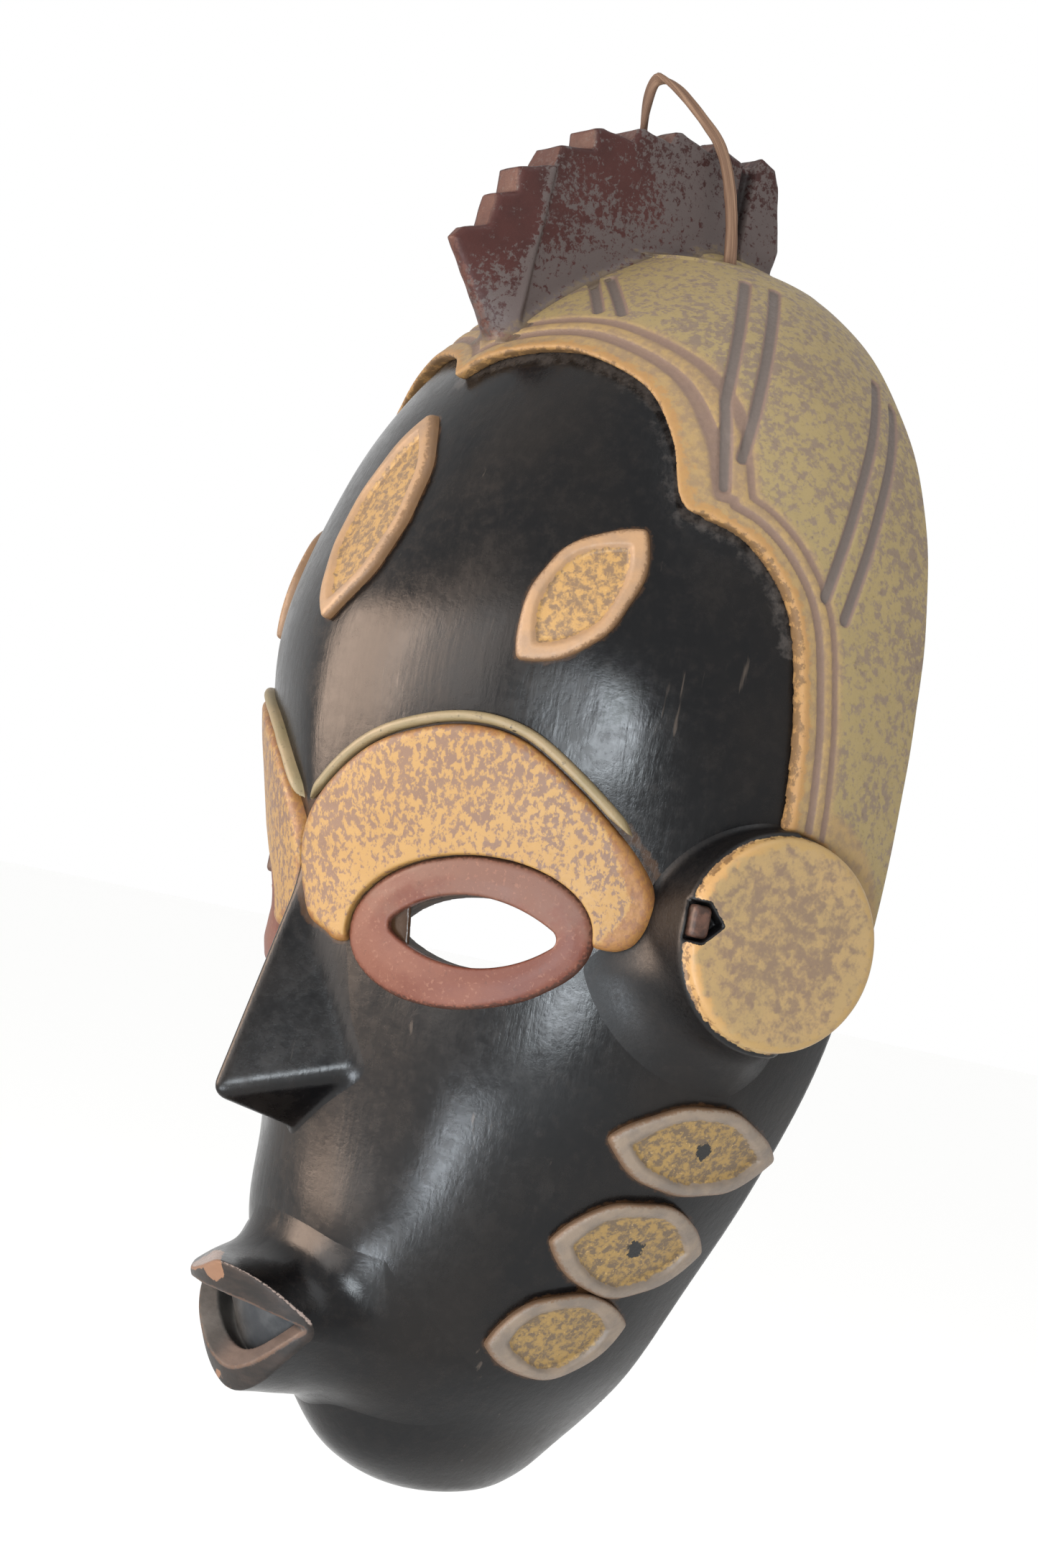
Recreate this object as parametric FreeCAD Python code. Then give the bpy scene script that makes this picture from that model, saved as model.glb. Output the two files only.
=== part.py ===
import FreeCAD, Part
import math
import os

os.makedirs("parts", exist_ok=True)

# A carved and painted wooden face mask that hangs on a wall by a short cord.
# Millimetres.  The mask looks along -Y, its left side is +X, +Z is up.
# Heights below are measured up from the underside of the chin; every shape is
# moved down by HOOK_HEIGHT at export, so the origin is the hanging point at the
# top of the cord loop.  The flat back of the mask is the plane Y = 0.

V = FreeCAD.Vector

# ---------------------------------------------------------------- dimensions

HOOK_HEIGHT = 377.0          # hanging point above the underside of the chin
HOOK_Y = -46.0               # hanging point in front of the flat back
WALL = 11.0                  # thickness of the hollowed-out wood
HAIR = 3.0                   # painted hair stands this far off the face
BROW = 3.2                   # brow pads
BROW_EDGE = 3.0              # rolled edge above each brow pad
RING = 2.4                   # broad flat ring round each eye
MARK = 2.6                   # raised rim of the leaf-shaped marks
MARK_FLOOR = 1.0             # sunk floor of the leaf-shaped marks

# Head: height, half width, reach to the front, reach to the back before the
# flat back is cut, roundness of the front (2 = ellipse, less = keeled).
HEAD = (
    (0.0, 2.0, 38.0, -27.0, 2.0),
    (1.5, 9.0, 47.0, -17.0, 2.0),
    (5.0, 14.0, 57.0, -8.0, 2.0),
    (12.0, 20.0, 68.0, 0.0, 2.0),
    (24.0, 28.0, 78.0, 11.0, 2.0),
    (39.0, 39.0, 86.0, 24.0, 2.0),
    (59.0, 50.0, 92.0, 36.0, 2.0),
    (83.0, 63.0, 95.0, 46.0, 1.95),
    (112.0, 78.0, 99.0, 52.0, 1.8),
    (147.0, 89.0, 105.0, 58.0, 1.6),
    (181.0, 92.5, 113.0, 62.0, 1.65),
    (210.0, 92.5, 115.0, 62.0, 1.85),
    (240.0, 89.0, 108.0, 60.0, 2.0),
    (264.0, 83.0, 100.0, 54.0, 2.0),
    (284.0, 74.0, 90.0, 44.0, 2.0),
    (300.0, 62.5, 78.0, 34.0, 2.0),
    (313.0, 48.5, 64.0, 24.0, 2.0),
    (323.0, 34.0, 51.0, 14.0, 2.0),
    (329.0, 21.0, 41.0, 5.0, 2.0),
    (332.5, 10.0, 33.0, -6.0, 2.0),
    (334.0, 3.0, 28.0, -16.0, 2.0),
)
HEAD_CENTRE = V(0, -25, 167)           # swelling and shrinking work from here
HEAD_REACH = V(92.5, 88, 167)          # centre to side, to front, to top
POINTS_ROUND = 32

# Hairline: an arch over each half of the forehead (front view, X and height)
# and an arch behind each temple (side view, Y and height).
FOREHEAD_ARCH = ((0, 283), (8, 289), (22, 292), (36, 291), (53, 284), (64, 272), (71, 258), (74, 254))
TEMPLE_ARCH = ((-66, 254), (-57, 251), (-49, 243), (-44, 233), (-40.5, 215), (-38, 196), (-37, 184), (-36, 165))
HAIR_BOTTOM = 160.0

# Eyes: everything round an eye is drawn on a slanted plane.
EYE_CENTRE = V(43, -84, 146)
EYE_TURN = 32.0                        # degrees the eye plane faces sideways
RING_HALF = (32.0, 18.3)
RING_TILT = 12.5
RING_SHIFT = (-1.0, 0.0)
HOLE_HALF = (21.5, 8.6)
HOLE_TILT = 6.0
HOLE_SHIFT = (0.5, 0.6)
BROW_OUTLINE = (
    (-33, -8), (-40, -6.5), (-46, -3.5), (-49.7, 5), (-50.7, 14), (-47.5, 23.2), (-41, 31.6), (-33, 38.8),
    (-24, 43.8), (-11, 48), (0, 49), (10, 46.8), (21, 40), (31, 32), (39, 23.8), (43.3, 15.5), (42, 9),
    (38, 4), (29, 3), (0, 8), (-20, 2),
)
BROW_EDGE_WIDTH = 3.0
BROW_GROOVE = 0.5
BROW_EDGE_FOOT = 21.0                  # the rolled edge ends this far above the eye

# Leaf-shaped marks: centre, sideways turn, half length, half width, tilt.
FOREHEAD_MARK = (V(61.5, -86, 230), 45.0, 21.4, 11.2, 57.3)
CENTRE_MARK = (V(0, -108, 243.5), 0.0, 28.5, 13.0, 90.0)
CHEEK_MARKS = (
    ("upper", (V(73.5, -27, 105), 70.0, 24.2, 11.8, 1.0)),
    ("middle", (V(59.5, -30, 77.5), 70.0, 21.8, 13.2, 3.0)),
    ("lower", (V(46, -36, 52), 70.0, 19.0, 12.0, 14.5)),
)

# Nose: a plain four-sided pyramid lying on the face.
NOSE_ROOT = V(0, -110.5, 153)
NOSE_TIP = V(0, -121.5, 95.5)
NOSE_WING = V(22.5, -92, 108)
NOSE_SIDE = V(16, -97, 125)
NOSE_BASE = V(0, -92, 87)

# Mouth: a pouting muzzle, open at the front, with a blind cavity.  Sections
# are upright lenses: Y, half width, half height, height, rise of the corners.
MUZZLE_ROOT = (-60.0, 33.0, 21.5, 41.5, 3.0)
MUZZLE_FRONT = (-122.0, 23.5, 15.5, 38.5, 5.6)
MUZZLE_TOP = V(0, -114, 56)
MUZZLE_BOTTOM = V(0, -98.5, 22.5)
MUZZLE_BOW = (31.0, 26.0)                    # plan ellipse of the lip front
CAVITY_FRONT = (-124.0, 34.0, 10.5, 37.0, 6.0)
CAVITY_BACK = (-84.0, 22.0, 7.0, 40.5, 3.5)
LIP_PARTING = 43.8

# Ears: thick discs with a notch in front and a small stub of wood in it.
EAR_CENTRE = V(101.0, -36.6, 158.5)          # middle of the painted outer face
EAR_RADIUS = 25.6
EAR_TURN = 80.0
EAR_ROOT = 34.0                              # how far the disc runs into the head
EAR_GAP = 0.8
LEFT_NOTCH = (10.0, 7.2, -3.7)               # depth, top and bottom
RIGHT_NOTCH = (8.0, 3.0, -13.0)              # the right notch is cut lower
STUB = (4.5, 7.4)                            # length and height
STUB_SUNK = 1.0
NOTCH_SUNK = 8.0                             # the notches are pockets in the painted face

# Curved cuts in the back rim behind the ears: side, height, half height, depth.
RIM_RELIEF = ((1, 154.0, 10.0, 10.0), (-1, 147.0, 25.0, 30.0))
EAR_BOARD = 93.0                             # the reliefs stop short of the ears' outer boards

# Crest: a toothed comb from front to back along the middle of the head.
CREST_HALF = 7.5
CREST_PANEL = 1.6                            # how far the side panels are sunk
CREST_CREASE = -83.0                         # the front wedge ends here
CREST_FRONT = -108.0                         # just in front of the foremost tooth
CREST_EDGE = 0.8                             # half thickness the wedge would have there
CREST_GROOVE = (-21.0, -17.5)                # groove in front of the rear rib
CREST_PROFILE = (
    (-88.5, 297.0), (-104.5, 316.5), (-102.0, 319.8), (-95.8, 322.0), (-95.0, 330.6), (-90.4, 332.4),
    (-90.8, 338.8), (-81.6, 342.0), (-80.2, 347.8), (-70.4, 350.2), (-70.8, 355.4), (-68.4, 356.4),
    (-58.8, 356.2), (-57.2, 360.0), (-55.4, 360.6), (-46.2, 359.6), (-45.2, 363.2), (-43.2, 363.8),
    (-33.2, 361.6), (-31.4, 365.0), (-21.0, 362.5), (-17.5, 362.5), (-15.8, 365.6), (-10.8, 364.2),
    (-8.4, 360.0), (-4.2, 343.0), (-5.6, 336.0), (-12.0, 300.0), (-60.0, 285.0),
)

# Cord: a flat strip of fibre, 4 mm, knotted inside the head.
CORD = 4.0
BORE = 4.6
HOLE_XY = (18.0, -26.5)
CORD_TAIL = 299.0
CORD_EXIT = 328.5
KNOT_HEIGHT = 306.0
KNOT_HALF = (5.2, 4.2)
CORD_ROUTE = (
    V(18.0, -26.5, 299.0), V(18.0, -26.5, 328.5), V(10.6, -30.0, 361.0), V(4.0, -38.6, 371.5),
    V(-1.5, -45.0, 378.2), V(-7.2, -47.6, 379.2), V(-12.5, -43.0, 363.0), V(-18.0, -26.5, 328.5),
    V(-18.0, -26.5, 299.0),
)
FOLD_CORNER = 5                              # the strip folds at this corner of its route
FOLD_RADIUS = 2.4


# ------------------------------------------------------------------- helpers

def box(x0, y0, z0, x1, y1, z1):
    return Part.makeBox(x1 - x0, y1 - y0, z1 - z0, V(x0, y0, z0))


FRONT_HALF = box(-200, -200, -50, 200, 0, 450)
LEFT_HALF = box(0, -200, -50, 200, 200, 450)


def closed_curve(points):
    """A smooth closed wire through the points."""
    curve = Part.BSplineCurve()
    curve.interpolate(Points=points, PeriodicFlag=True)
    return Part.Wire([curve.toShape()])


def power(value, exponent):
    return math.copysign(abs(value) ** exponent, value)


def head_section(height, half_width, front, back, roundness):
    """One level outline of the head, keeled in front and elliptical behind."""
    middle = (back - front) / 2.0
    reach = (back + front) / 2.0
    points = []
    for i in range(POINTS_ROUND):
        angle = 2.0 * math.pi * (i + 0.5) / POINTS_ROUND
        s = math.sin(angle)
        c = math.cos(angle)
        if c > 0:
            x = half_width * power(s, 2.0 / roundness)
            y = middle - reach * power(c, 2.0 / roundness)
        else:
            x = half_width * s
            y = middle - reach * c
        points.append(V(x, y, height))
    outline = Part.BSplineCurve()
    steps = [i / POINTS_ROUND for i in range(POINTS_ROUND + 1)]
    outline.interpolate(Points=points, PeriodicFlag=True, Parameters=steps)
    return outline


def whole_head():
    """One smooth skin through all the level outlines, closed by two small caps."""
    outlines = [head_section(*row) for row in HEAD]
    heights = [row[0] for row in HEAD]
    columns = []
    for j in range(len(outlines[0].getPoles())):
        column = Part.BSplineCurve()
        column.interpolate(Points=[outline.getPoles()[j] for outline in outlines], Parameters=heights)
        columns.append(column)
    skin = Part.BSplineSurface()
    skin.buildFromPolesMultsKnots(
        [column.getPoles() for column in columns], outlines[0].getMultiplicities(), columns[0].getMultiplicities(),
        outlines[0].getKnots(), columns[0].getKnots(), True, False, 3, 3)
    side = skin.toShape()
    caps = []
    for outline in (outlines[0], outlines[-1]):
        caps.append(Part.Face(Part.Wire([outline.toShape()])))
    shell = Part.makeShell([side] + caps)
    shell.sewShape()
    solid = Part.makeSolid(Part.Shell(shell.Faces))
    if solid.Volume < 0:
        solid.reverse()
    return solid


def swollen(head, amount):
    """The head grown (or shrunk) by about this much all round."""
    m = FreeCAD.Matrix()
    m.move(-HEAD_CENTRE)
    m.scale(1 + amount / HEAD_REACH.x, 1 + amount / HEAD_REACH.y, 1 + amount / HEAD_REACH.z)
    m.move(HEAD_CENTRE)
    return head.transformGeometry(m)


def mirrored(shape):
    return shape.mirror(V(0, 0, 0), V(1, 0, 0))


def slanted_prism(wire_points, centre, turn, smooth=True, near=-30.0, far=45.0):
    """A prism whose outline is drawn on a plane turned sideways about Z."""
    angle = math.radians(turn)
    along = V(math.cos(angle), math.sin(angle), 0)
    outward = V(math.sin(angle), -math.cos(angle), 0)
    placed = []
    for u, v in wire_points:
        placed.append(centre + along * u + V(0, 0, v) + outward * near)
    if smooth:
        wire = closed_curve(placed)
    else:
        wire = Part.makePolygon(placed + [placed[0]])
    return Part.Face(wire).extrude(outward * (far - near))


def ellipse_points(half, tilt, shift, count=24):
    a = math.radians(tilt)
    points = []
    for i in range(count):
        t = 2.0 * math.pi * i / count
        u = half[0] * math.cos(t)
        v = half[1] * math.sin(t)
        points.append((shift[0] + u * math.cos(a) - v * math.sin(a), shift[1] + u * math.sin(a) + v * math.cos(a)))
    return points


def leaf_points(half_length, half_width, tilt, shift=(0.0, 0.0), count=9):
    """Two arcs meeting in points, as a polygon."""
    a = math.radians(tilt)
    radius = (half_length ** 2 + half_width ** 2) / (2.0 * half_width)
    points = []
    for side in (1, -1):
        for i in range(count):
            u = side * half_length * (2.0 * i / count - 1.0)
            v = side * (math.sqrt(radius ** 2 - u ** 2) - (radius - half_width))
            points.append((shift[0] + u * math.cos(a) - v * math.sin(a), shift[1] + u * math.sin(a) + v * math.cos(a)))
    return points


def one_solid(shape):
    """The largest solid of a boolean result."""
    return max(shape.Solids, key=lambda s: s.Volume)


# --------------------------------------------------------------------- parts

def hair_region():
    """Everything outside the hairline, above the ears' middle."""
    arch = [V(x, -200, z) for x, z in FOREHEAD_ARCH]
    curve = Part.BSplineCurve()
    curve.interpolate(Points=arch)
    corners = [arch[-1], V(110, -200, 254), V(110, -200, 100), V(0, -200, 100), arch[0]]
    forehead = Part.Face(Part.Wire([curve.toShape(), Part.makePolygon(corners)])).extrude(V(0, 134.5, 0))
    arch = [V(0, y, z) for y, z in TEMPLE_ARCH]
    curve = Part.BSplineCurve()
    curve.interpolate(Points=arch)
    corners = [arch[-1], V(0, -36, 100), V(0, -200, 100), V(0, -200, 254), arch[0]]
    temple = Part.Face(Part.Wire([curve.toShape(), Part.makePolygon(corners)])).extrude(V(120, 0, 0))
    bare = forehead.fuse(temple)
    upper = box(-150, -200, HAIR_BOTTOM, 150, 0, 400)
    return upper.cut(bare).cut(mirrored(bare))


def eye_prism(points, smooth=True):
    return slanted_prism(points, EYE_CENTRE, EYE_TURN, smooth)


def eye_parts(head):
    """Ring, brow pad and rolled brow edge of the left eye, and its hole."""
    hole = eye_prism(leaf_points(HOLE_HALF[0], HOLE_HALF[1], HOLE_TILT, HOLE_SHIFT), False)
    ring_zone = eye_prism(ellipse_points(RING_HALF, RING_TILT, RING_SHIFT))
    ring = one_solid(swollen(head, RING).common(ring_zone).cut(head).cut(hole))
    pad_zone = eye_prism(BROW_OUTLINE).cut(ring_zone).common(LEFT_HALF)
    pad = one_solid(swollen(head, BROW).common(pad_zone).cut(head))
    inner = grown_outline(BROW_OUTLINE, BROW_GROOVE)
    outer = grown_outline(BROW_OUTLINE, BROW_GROOVE + BROW_EDGE_WIDTH)
    edge_zone = eye_prism(outer).cut(eye_prism(inner)).common(LEFT_HALF)
    edge_zone = edge_zone.common(box(0, -200, EYE_CENTRE.z + BROW_EDGE_FOOT, 200, 200, 300))
    edge = one_solid(swollen(head, BROW_EDGE).common(edge_zone).cut(head))
    return ring, pad, edge, hole


def grown_outline(points, amount):
    """The outline moved outwards by this much."""
    cu = sum(p[0] for p in points) / len(points)
    cv = 10.0
    grown = []
    for u, v in points:
        length = math.hypot(u - cu, v - cv)
        k = 1.0 + amount / length
        grown.append((cu + (u - cu) * k, cv + (v - cv) * k))
    return grown


def leaf_mark(head, centre, turn, half_length, half_width, tilt):
    """A leaf-shaped mark: a raised rim round a sunk floor."""
    outline = slanted_prism(leaf_points(half_length, half_width, tilt), centre, turn, False)
    inside = slanted_prism(leaf_points(half_length - 6.0, half_width - 3.2, tilt), centre, turn, False)
    rim = swollen(head, MARK).common(outline).cut(head)
    dish = inside.cut(swollen(head, MARK_FLOOR))
    return one_solid(rim.cut(dish))


def nose(head):
    right_wing = V(-NOSE_WING.x, NOSE_WING.y, NOSE_WING.z)
    right_side = V(-NOSE_SIDE.x, NOSE_SIDE.y, NOSE_SIDE.z)
    inside = V(0, -62, 118)
    around = [NOSE_ROOT, NOSE_SIDE, NOSE_WING, NOSE_BASE, right_wing, right_side]
    faces = []
    for i, a in enumerate(around):
        b = around[(i + 1) % len(around)]
        faces.append(Part.Face(Part.makePolygon([a, b, NOSE_TIP, a])))
        faces.append(Part.Face(Part.makePolygon([b, a, inside, b])))
    solid = Part.makeSolid(Part.makeShell(faces))
    if solid.Volume < 0:
        solid.reverse()
    return one_solid(solid.cut(head))


def upright_lens(y, half_width, half_height, height, rise):
    points = []
    for u, v in ellipse_points((half_width, half_height), 0.0, (0.0, 0.0)):
        share = (u / half_width) ** 2
        points.append(V(u, y, height + v * (1.0 - 0.25 * share) + rise * share))
    return closed_curve(points)


def mouth(head):
    """Upper lip, lower lip and the cavity between them."""
    muzzle = Part.makeLoft([upright_lens(*MUZZLE_ROOT), upright_lens(*MUZZLE_FRONT)], True, True)
    lean = (MUZZLE_BOTTOM - MUZZLE_TOP).normalize()
    start = MUZZLE_TOP - lean * 60.0 + V(0, MUZZLE_BOW[1], 0)
    bow = []
    for i in range(24):
        t = 2.0 * math.pi * i / 24
        bow.append(start + V(MUZZLE_BOW[0] * math.sin(t), -MUZZLE_BOW[1] * math.cos(t), 0))
    front = Part.Face(closed_curve(bow)).extrude(lean * 160.0)
    behind = box(-60, -88, -20, 60, 0, 110)
    muzzle = muzzle.common(front.fuse(behind))
    cavity = Part.makeLoft([upright_lens(*CAVITY_BACK), upright_lens(*CAVITY_FRONT)], True, True)
    lips = muzzle.cut(cavity).cut(head)
    upper = one_solid(lips.common(box(-80, -200, LIP_PARTING, 80, 0, 120)))
    lower = one_solid(lips.common(box(-80, -200, -40, 80, 0, LIP_PARTING)))
    return upper, lower, cavity


def ear(head, notch_size):
    """One ear disc, the stub in its notch, and the zone kept clear of hair."""
    angle = math.radians(EAR_TURN)
    out = V(math.sin(angle), -math.cos(angle), 0)
    along = V(math.cos(angle), math.sin(angle), 0)
    back = EAR_CENTRE - out * EAR_ROOT
    disc = Part.makeCylinder(EAR_RADIUS, EAR_ROOT, back, out)
    zone = Part.makeCylinder(EAR_RADIUS + EAR_GAP, EAR_ROOT + 20, back, out)
    front = back - along * EAR_RADIUS
    depth, top, bottom = notch_size
    middle = (top + bottom) / 2.0
    bend = depth * 0.4
    corners = ((-3, top), (bend, top), (depth, middle), (bend, bottom), (-3, bottom))
    floor = front + out * (EAR_ROOT - NOTCH_SUNK)
    notch = prism_from(floor, along, corners, out * (NOTCH_SUNK + 10))
    high = middle + STUB[1] / 2.0
    low = middle - STUB[1] / 2.0
    corners = ((0.4, high), (STUB[0], high), (STUB[0], low), (0.4, low))
    stub = prism_from(floor, along, corners, out * (NOTCH_SUNK - STUB_SUNK))
    disc = disc.cut(notch).cut(head).common(FRONT_HALF)
    return one_solid(disc), one_solid(stub.cut(head)), zone


def rim_relief(reach, side, height, half_height, depth):
    """The curved cut in the back rim behind one ear, as far out as the reach."""
    points = []
    for i in range(24):
        t = 2.0 * math.pi * i / 24
        points.append(V(40, depth * math.cos(t), height + half_height * math.sin(t)))
    cut = Part.Face(closed_curve(points)).extrude(V(reach - 40, 0, 0))
    return cut if side > 0 else mirrored(cut)


def prism_from(start, along, corners, run):
    """A straight prism; its corners are given along and above the start."""
    points = [start + along * u + V(0, 0, v) for u, v in corners]
    return Part.Face(Part.makePolygon(points + [points[0]])).extrude(run)


def crest(hair_skin):
    points = [V(-CREST_HALF, y, z) for y, z in CREST_PROFILE]
    slab = Part.Face(Part.makePolygon(points + [points[0]])).extrude(V(2 * CREST_HALF, 0, 0))
    left = [
        V(CREST_EDGE, CREST_FRONT, 250), V(CREST_HALF, CREST_CREASE, 250),
        V(30, CREST_CREASE, 250), V(30, CREST_FRONT, 250),
    ]
    wedge = Part.Face(Part.makePolygon(left + [left[0]])).extrude(V(0, 0, 140))
    panel = box(CREST_HALF - CREST_PANEL, CREST_CREASE + 1.0, 200, 30, CREST_GROOVE[1], 400)
    groove = box(CREST_HALF - 2.4 * CREST_PANEL, CREST_GROOVE[0], 200, 30, CREST_GROOVE[1], 400)
    for tool in (wedge, panel, groove):
        slab = slab.cut(tool).cut(mirrored(tool))
    return one_solid(slab.cut(hair_skin))


def cord_spine():
    """Straight runs joined by tangent arcs; also returns each bend's radius."""
    edges = []
    radii = []
    last = CORD_ROUTE[0]
    for i in range(1, len(CORD_ROUTE) - 1):
        before, corner, after = CORD_ROUTE[i - 1], CORD_ROUTE[i], CORD_ROUTE[i + 1]
        to_before = (before - corner).normalize()
        to_after = (after - corner).normalize()
        half_turn = (math.pi - to_before.getAngle(to_after)) / 2.0
        shorter = min((before - corner).Length, (after - corner).Length)
        radius = 0.45 * shorter / math.tan(half_turn)
        if i == FOLD_CORNER:
            radius = min(radius, FOLD_RADIUS)
        reach = radius * math.tan(half_turn)
        start = corner + to_before * reach
        end = corner + to_after * reach
        bisector = (to_before + to_after).normalize()
        centre = corner + bisector * (radius / math.cos(half_turn))
        middle = centre - bisector * radius
        edges.append(Part.makeLine(last, start))
        edges.append(Part.Arc(start, middle, end).toShape())
        radii.append(round(radius, 1))
        last = end
    edges.append(Part.makeLine(last, CORD_ROUTE[-1]))
    return Part.Wire(edges), radii


def cord_and_knots():
    spine, radii = cord_spine()
    profile = Part.Wire([Part.makeCircle(CORD / 2.0, CORD_ROUTE[0], V(0, 0, 1))])
    tube = spine.makePipeShell([profile], True, False)
    print("cord length", round(spine.Length, 1), "bend radii", radii)
    knots = []
    for side in (1, -1):
        ball = Part.makeSphere(1.0)
        m = FreeCAD.Matrix()
        m.scale(KNOT_HALF[0], KNOT_HALF[0], KNOT_HALF[1])
        ball = ball.transformGeometry(m)
        ball.translate(V(side * HOLE_XY[0], HOLE_XY[1], KNOT_HEIGHT))
        through = Part.makeCylinder(CORD / 2.0, 60, V(side * HOLE_XY[0], HOLE_XY[1], 280))
        knots.append(ball.cut(through))
    return tube, knots[0], knots[1]


# ------------------------------------------------------------------ assembly

def build():
    head = whole_head()
    hollow = swollen(head, -WALL)
    hair_skin = swollen(head, HAIR)
    parts = {}

    ring, pad, edge, hole = eye_parts(head)
    upper, lower, cavity = mouth(head)
    left_ear, left_stub, ear_zone = ear(head, LEFT_NOTCH)
    right_ear, right_stub, ear_zone = ear(head, RIGHT_NOTCH)

    shell = head.common(FRONT_HALF).cut(hollow).cut(hole).cut(mirrored(hole)).cut(cavity)
    hair = hair_skin.common(hair_region()).cut(head).cut(ear_zone).cut(mirrored(ear_zone))
    comb = crest(hair_skin)
    for side in (1, -1):
        bore = Part.makeCylinder(BORE / 2.0, 60, V(side * HOLE_XY[0], HOLE_XY[1], 290))
        shell = shell.cut(bore)
        hair = hair.cut(bore)

    right_ear = mirrored(right_ear)
    for relief in RIM_RELIEF:
        shell = shell.cut(rim_relief(120.0, *relief))
        hair = hair.cut(rim_relief(120.0, *relief))
        left_ear = left_ear.cut(rim_relief(EAR_BOARD, *relief))
        right_ear = right_ear.cut(rim_relief(EAR_BOARD, *relief))

    tube, left_knot, right_knot = cord_and_knots()
    parts["face_shell"] = one_solid(shell)
    parts["hair_cap"] = one_solid(hair)
    parts["crest"] = comb
    parts["ear_left"] = one_solid(left_ear)
    parts["ear_right"] = one_solid(right_ear)
    parts["ear_stub_left"] = left_stub
    parts["ear_stub_right"] = mirrored(right_stub)
    parts["nose"] = nose(head)
    parts["upper_lip"] = upper
    parts["lower_lip"] = lower
    parts["eye_ring_left"] = ring
    parts["eye_ring_right"] = mirrored(ring)
    parts["brow_left"] = pad
    parts["brow_right"] = mirrored(pad)
    parts["brow_edge_left"] = edge
    parts["brow_edge_right"] = mirrored(edge)
    parts["forehead_mark_centre"] = leaf_mark(head, *CENTRE_MARK)
    side_mark = leaf_mark(head, *FOREHEAD_MARK)
    parts["forehead_mark_left"] = side_mark
    parts["forehead_mark_right"] = mirrored(side_mark)
    for name, row in CHEEK_MARKS:
        mark = leaf_mark(head, *row)
        parts["cheek_mark_left_" + name] = mark
        parts["cheek_mark_right_" + name] = mirrored(mark)
    parts["hanging_cord"] = tube
    parts["cord_knot_left"] = left_knot.cut(parts["face_shell"])
    parts["cord_knot_right"] = right_knot.cut(parts["face_shell"])
    return parts


for name, shape in build().items():
    shape = shape.copy()
    shape.translate(V(0, -HOOK_Y, -HOOK_HEIGHT))
    shape.exportStep("parts/" + name + ".step")
    bounds = shape.BoundBox
    print(name, len(shape.Solids), shape.isValid(), round(shape.Volume), [round(v, 1) for v in (
        bounds.XMin, bounds.XMax, bounds.YMin, bounds.YMax, bounds.ZMin, bounds.ZMax)])
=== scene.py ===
import math
from itertools import product

import bmesh
import bpy
import numpy as np
from mathutils import Matrix, Vector


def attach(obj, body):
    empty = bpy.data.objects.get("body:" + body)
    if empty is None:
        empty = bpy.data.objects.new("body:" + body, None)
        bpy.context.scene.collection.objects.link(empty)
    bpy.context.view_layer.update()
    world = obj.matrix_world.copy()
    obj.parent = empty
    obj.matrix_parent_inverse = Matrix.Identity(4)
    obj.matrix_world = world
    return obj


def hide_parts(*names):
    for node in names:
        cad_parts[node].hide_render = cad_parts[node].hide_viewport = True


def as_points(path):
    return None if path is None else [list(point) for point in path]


# A carved and painted wooden wall mask.  Shapes are worked out in millimetres
# with heights counted up from the chin and the flat back at y = 0, then moved
# into the row frame: origin at the hanging point, metres.

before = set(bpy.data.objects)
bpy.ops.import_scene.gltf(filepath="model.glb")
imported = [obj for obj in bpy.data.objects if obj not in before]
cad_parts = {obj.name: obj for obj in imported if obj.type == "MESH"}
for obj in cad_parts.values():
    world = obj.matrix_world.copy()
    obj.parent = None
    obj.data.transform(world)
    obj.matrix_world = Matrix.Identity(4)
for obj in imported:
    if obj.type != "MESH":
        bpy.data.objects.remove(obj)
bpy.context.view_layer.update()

HOOK_Y = -46.0
HOOK_HEIGHT = 377.0


def to_frame(points):
    """Millimetres from the chin to metres in the row frame."""
    points = np.asarray(points, dtype=np.float64)
    return (points - np.array([0.0, HOOK_Y, HOOK_HEIGHT])) / 1000.0


# ------------------------------------------------------------ number helpers

def smooth_min(a, b, k):
    h = np.clip(0.5 + 0.5 * (b - a) / k, 0.0, 1.0)
    return b * (1.0 - h) + a * h - k * h * (1.0 - h)


def smooth_max(a, b, k):
    return -smooth_min(-a, -b, k)


def step01(low, high, value):
    t = np.clip((value - low) / (high - low), 0.0, 1.0)
    return t * t * (3.0 - 2.0 * t)


def natural_spline(xs, ys, where):
    """Natural cubic spline through the stations, straight beyond the ends."""
    xs = np.asarray(xs, float)
    ys = np.asarray(ys, float)
    n = len(xs)
    h = np.diff(xs)
    m = np.zeros((n, n))
    r = np.zeros(n)
    m[0, 0] = m[-1, -1] = 1.0
    for i in range(1, n - 1):
        m[i, i - 1:i + 2] = h[i - 1], 2 * (h[i - 1] + h[i]), h[i]
        r[i] = 6 * ((ys[i + 1] - ys[i]) / h[i] - (ys[i] - ys[i - 1]) / h[i - 1])
    s = np.linalg.solve(m, r)
    where = np.asarray(where, float)
    inside = np.clip(where, xs[0], xs[-1])
    i = np.clip(np.searchsorted(xs, inside) - 1, 0, n - 2)
    a = (xs[i + 1] - inside) / h[i]
    b = (inside - xs[i]) / h[i]
    bend = ((a ** 3 - a) * s[i] + (b ** 3 - b) * s[i + 1]) * h[i] ** 2 / 6
    out = a * ys[i] + b * ys[i + 1] + bend
    first = (ys[1] - ys[0]) / h[0]
    last = (ys[-1] - ys[-2]) / h[-1]
    out = out + np.where(where < xs[0], (where - xs[0]) * first, 0)
    return out + np.where(where > xs[-1], (where - xs[-1]) * last, 0)


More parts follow.
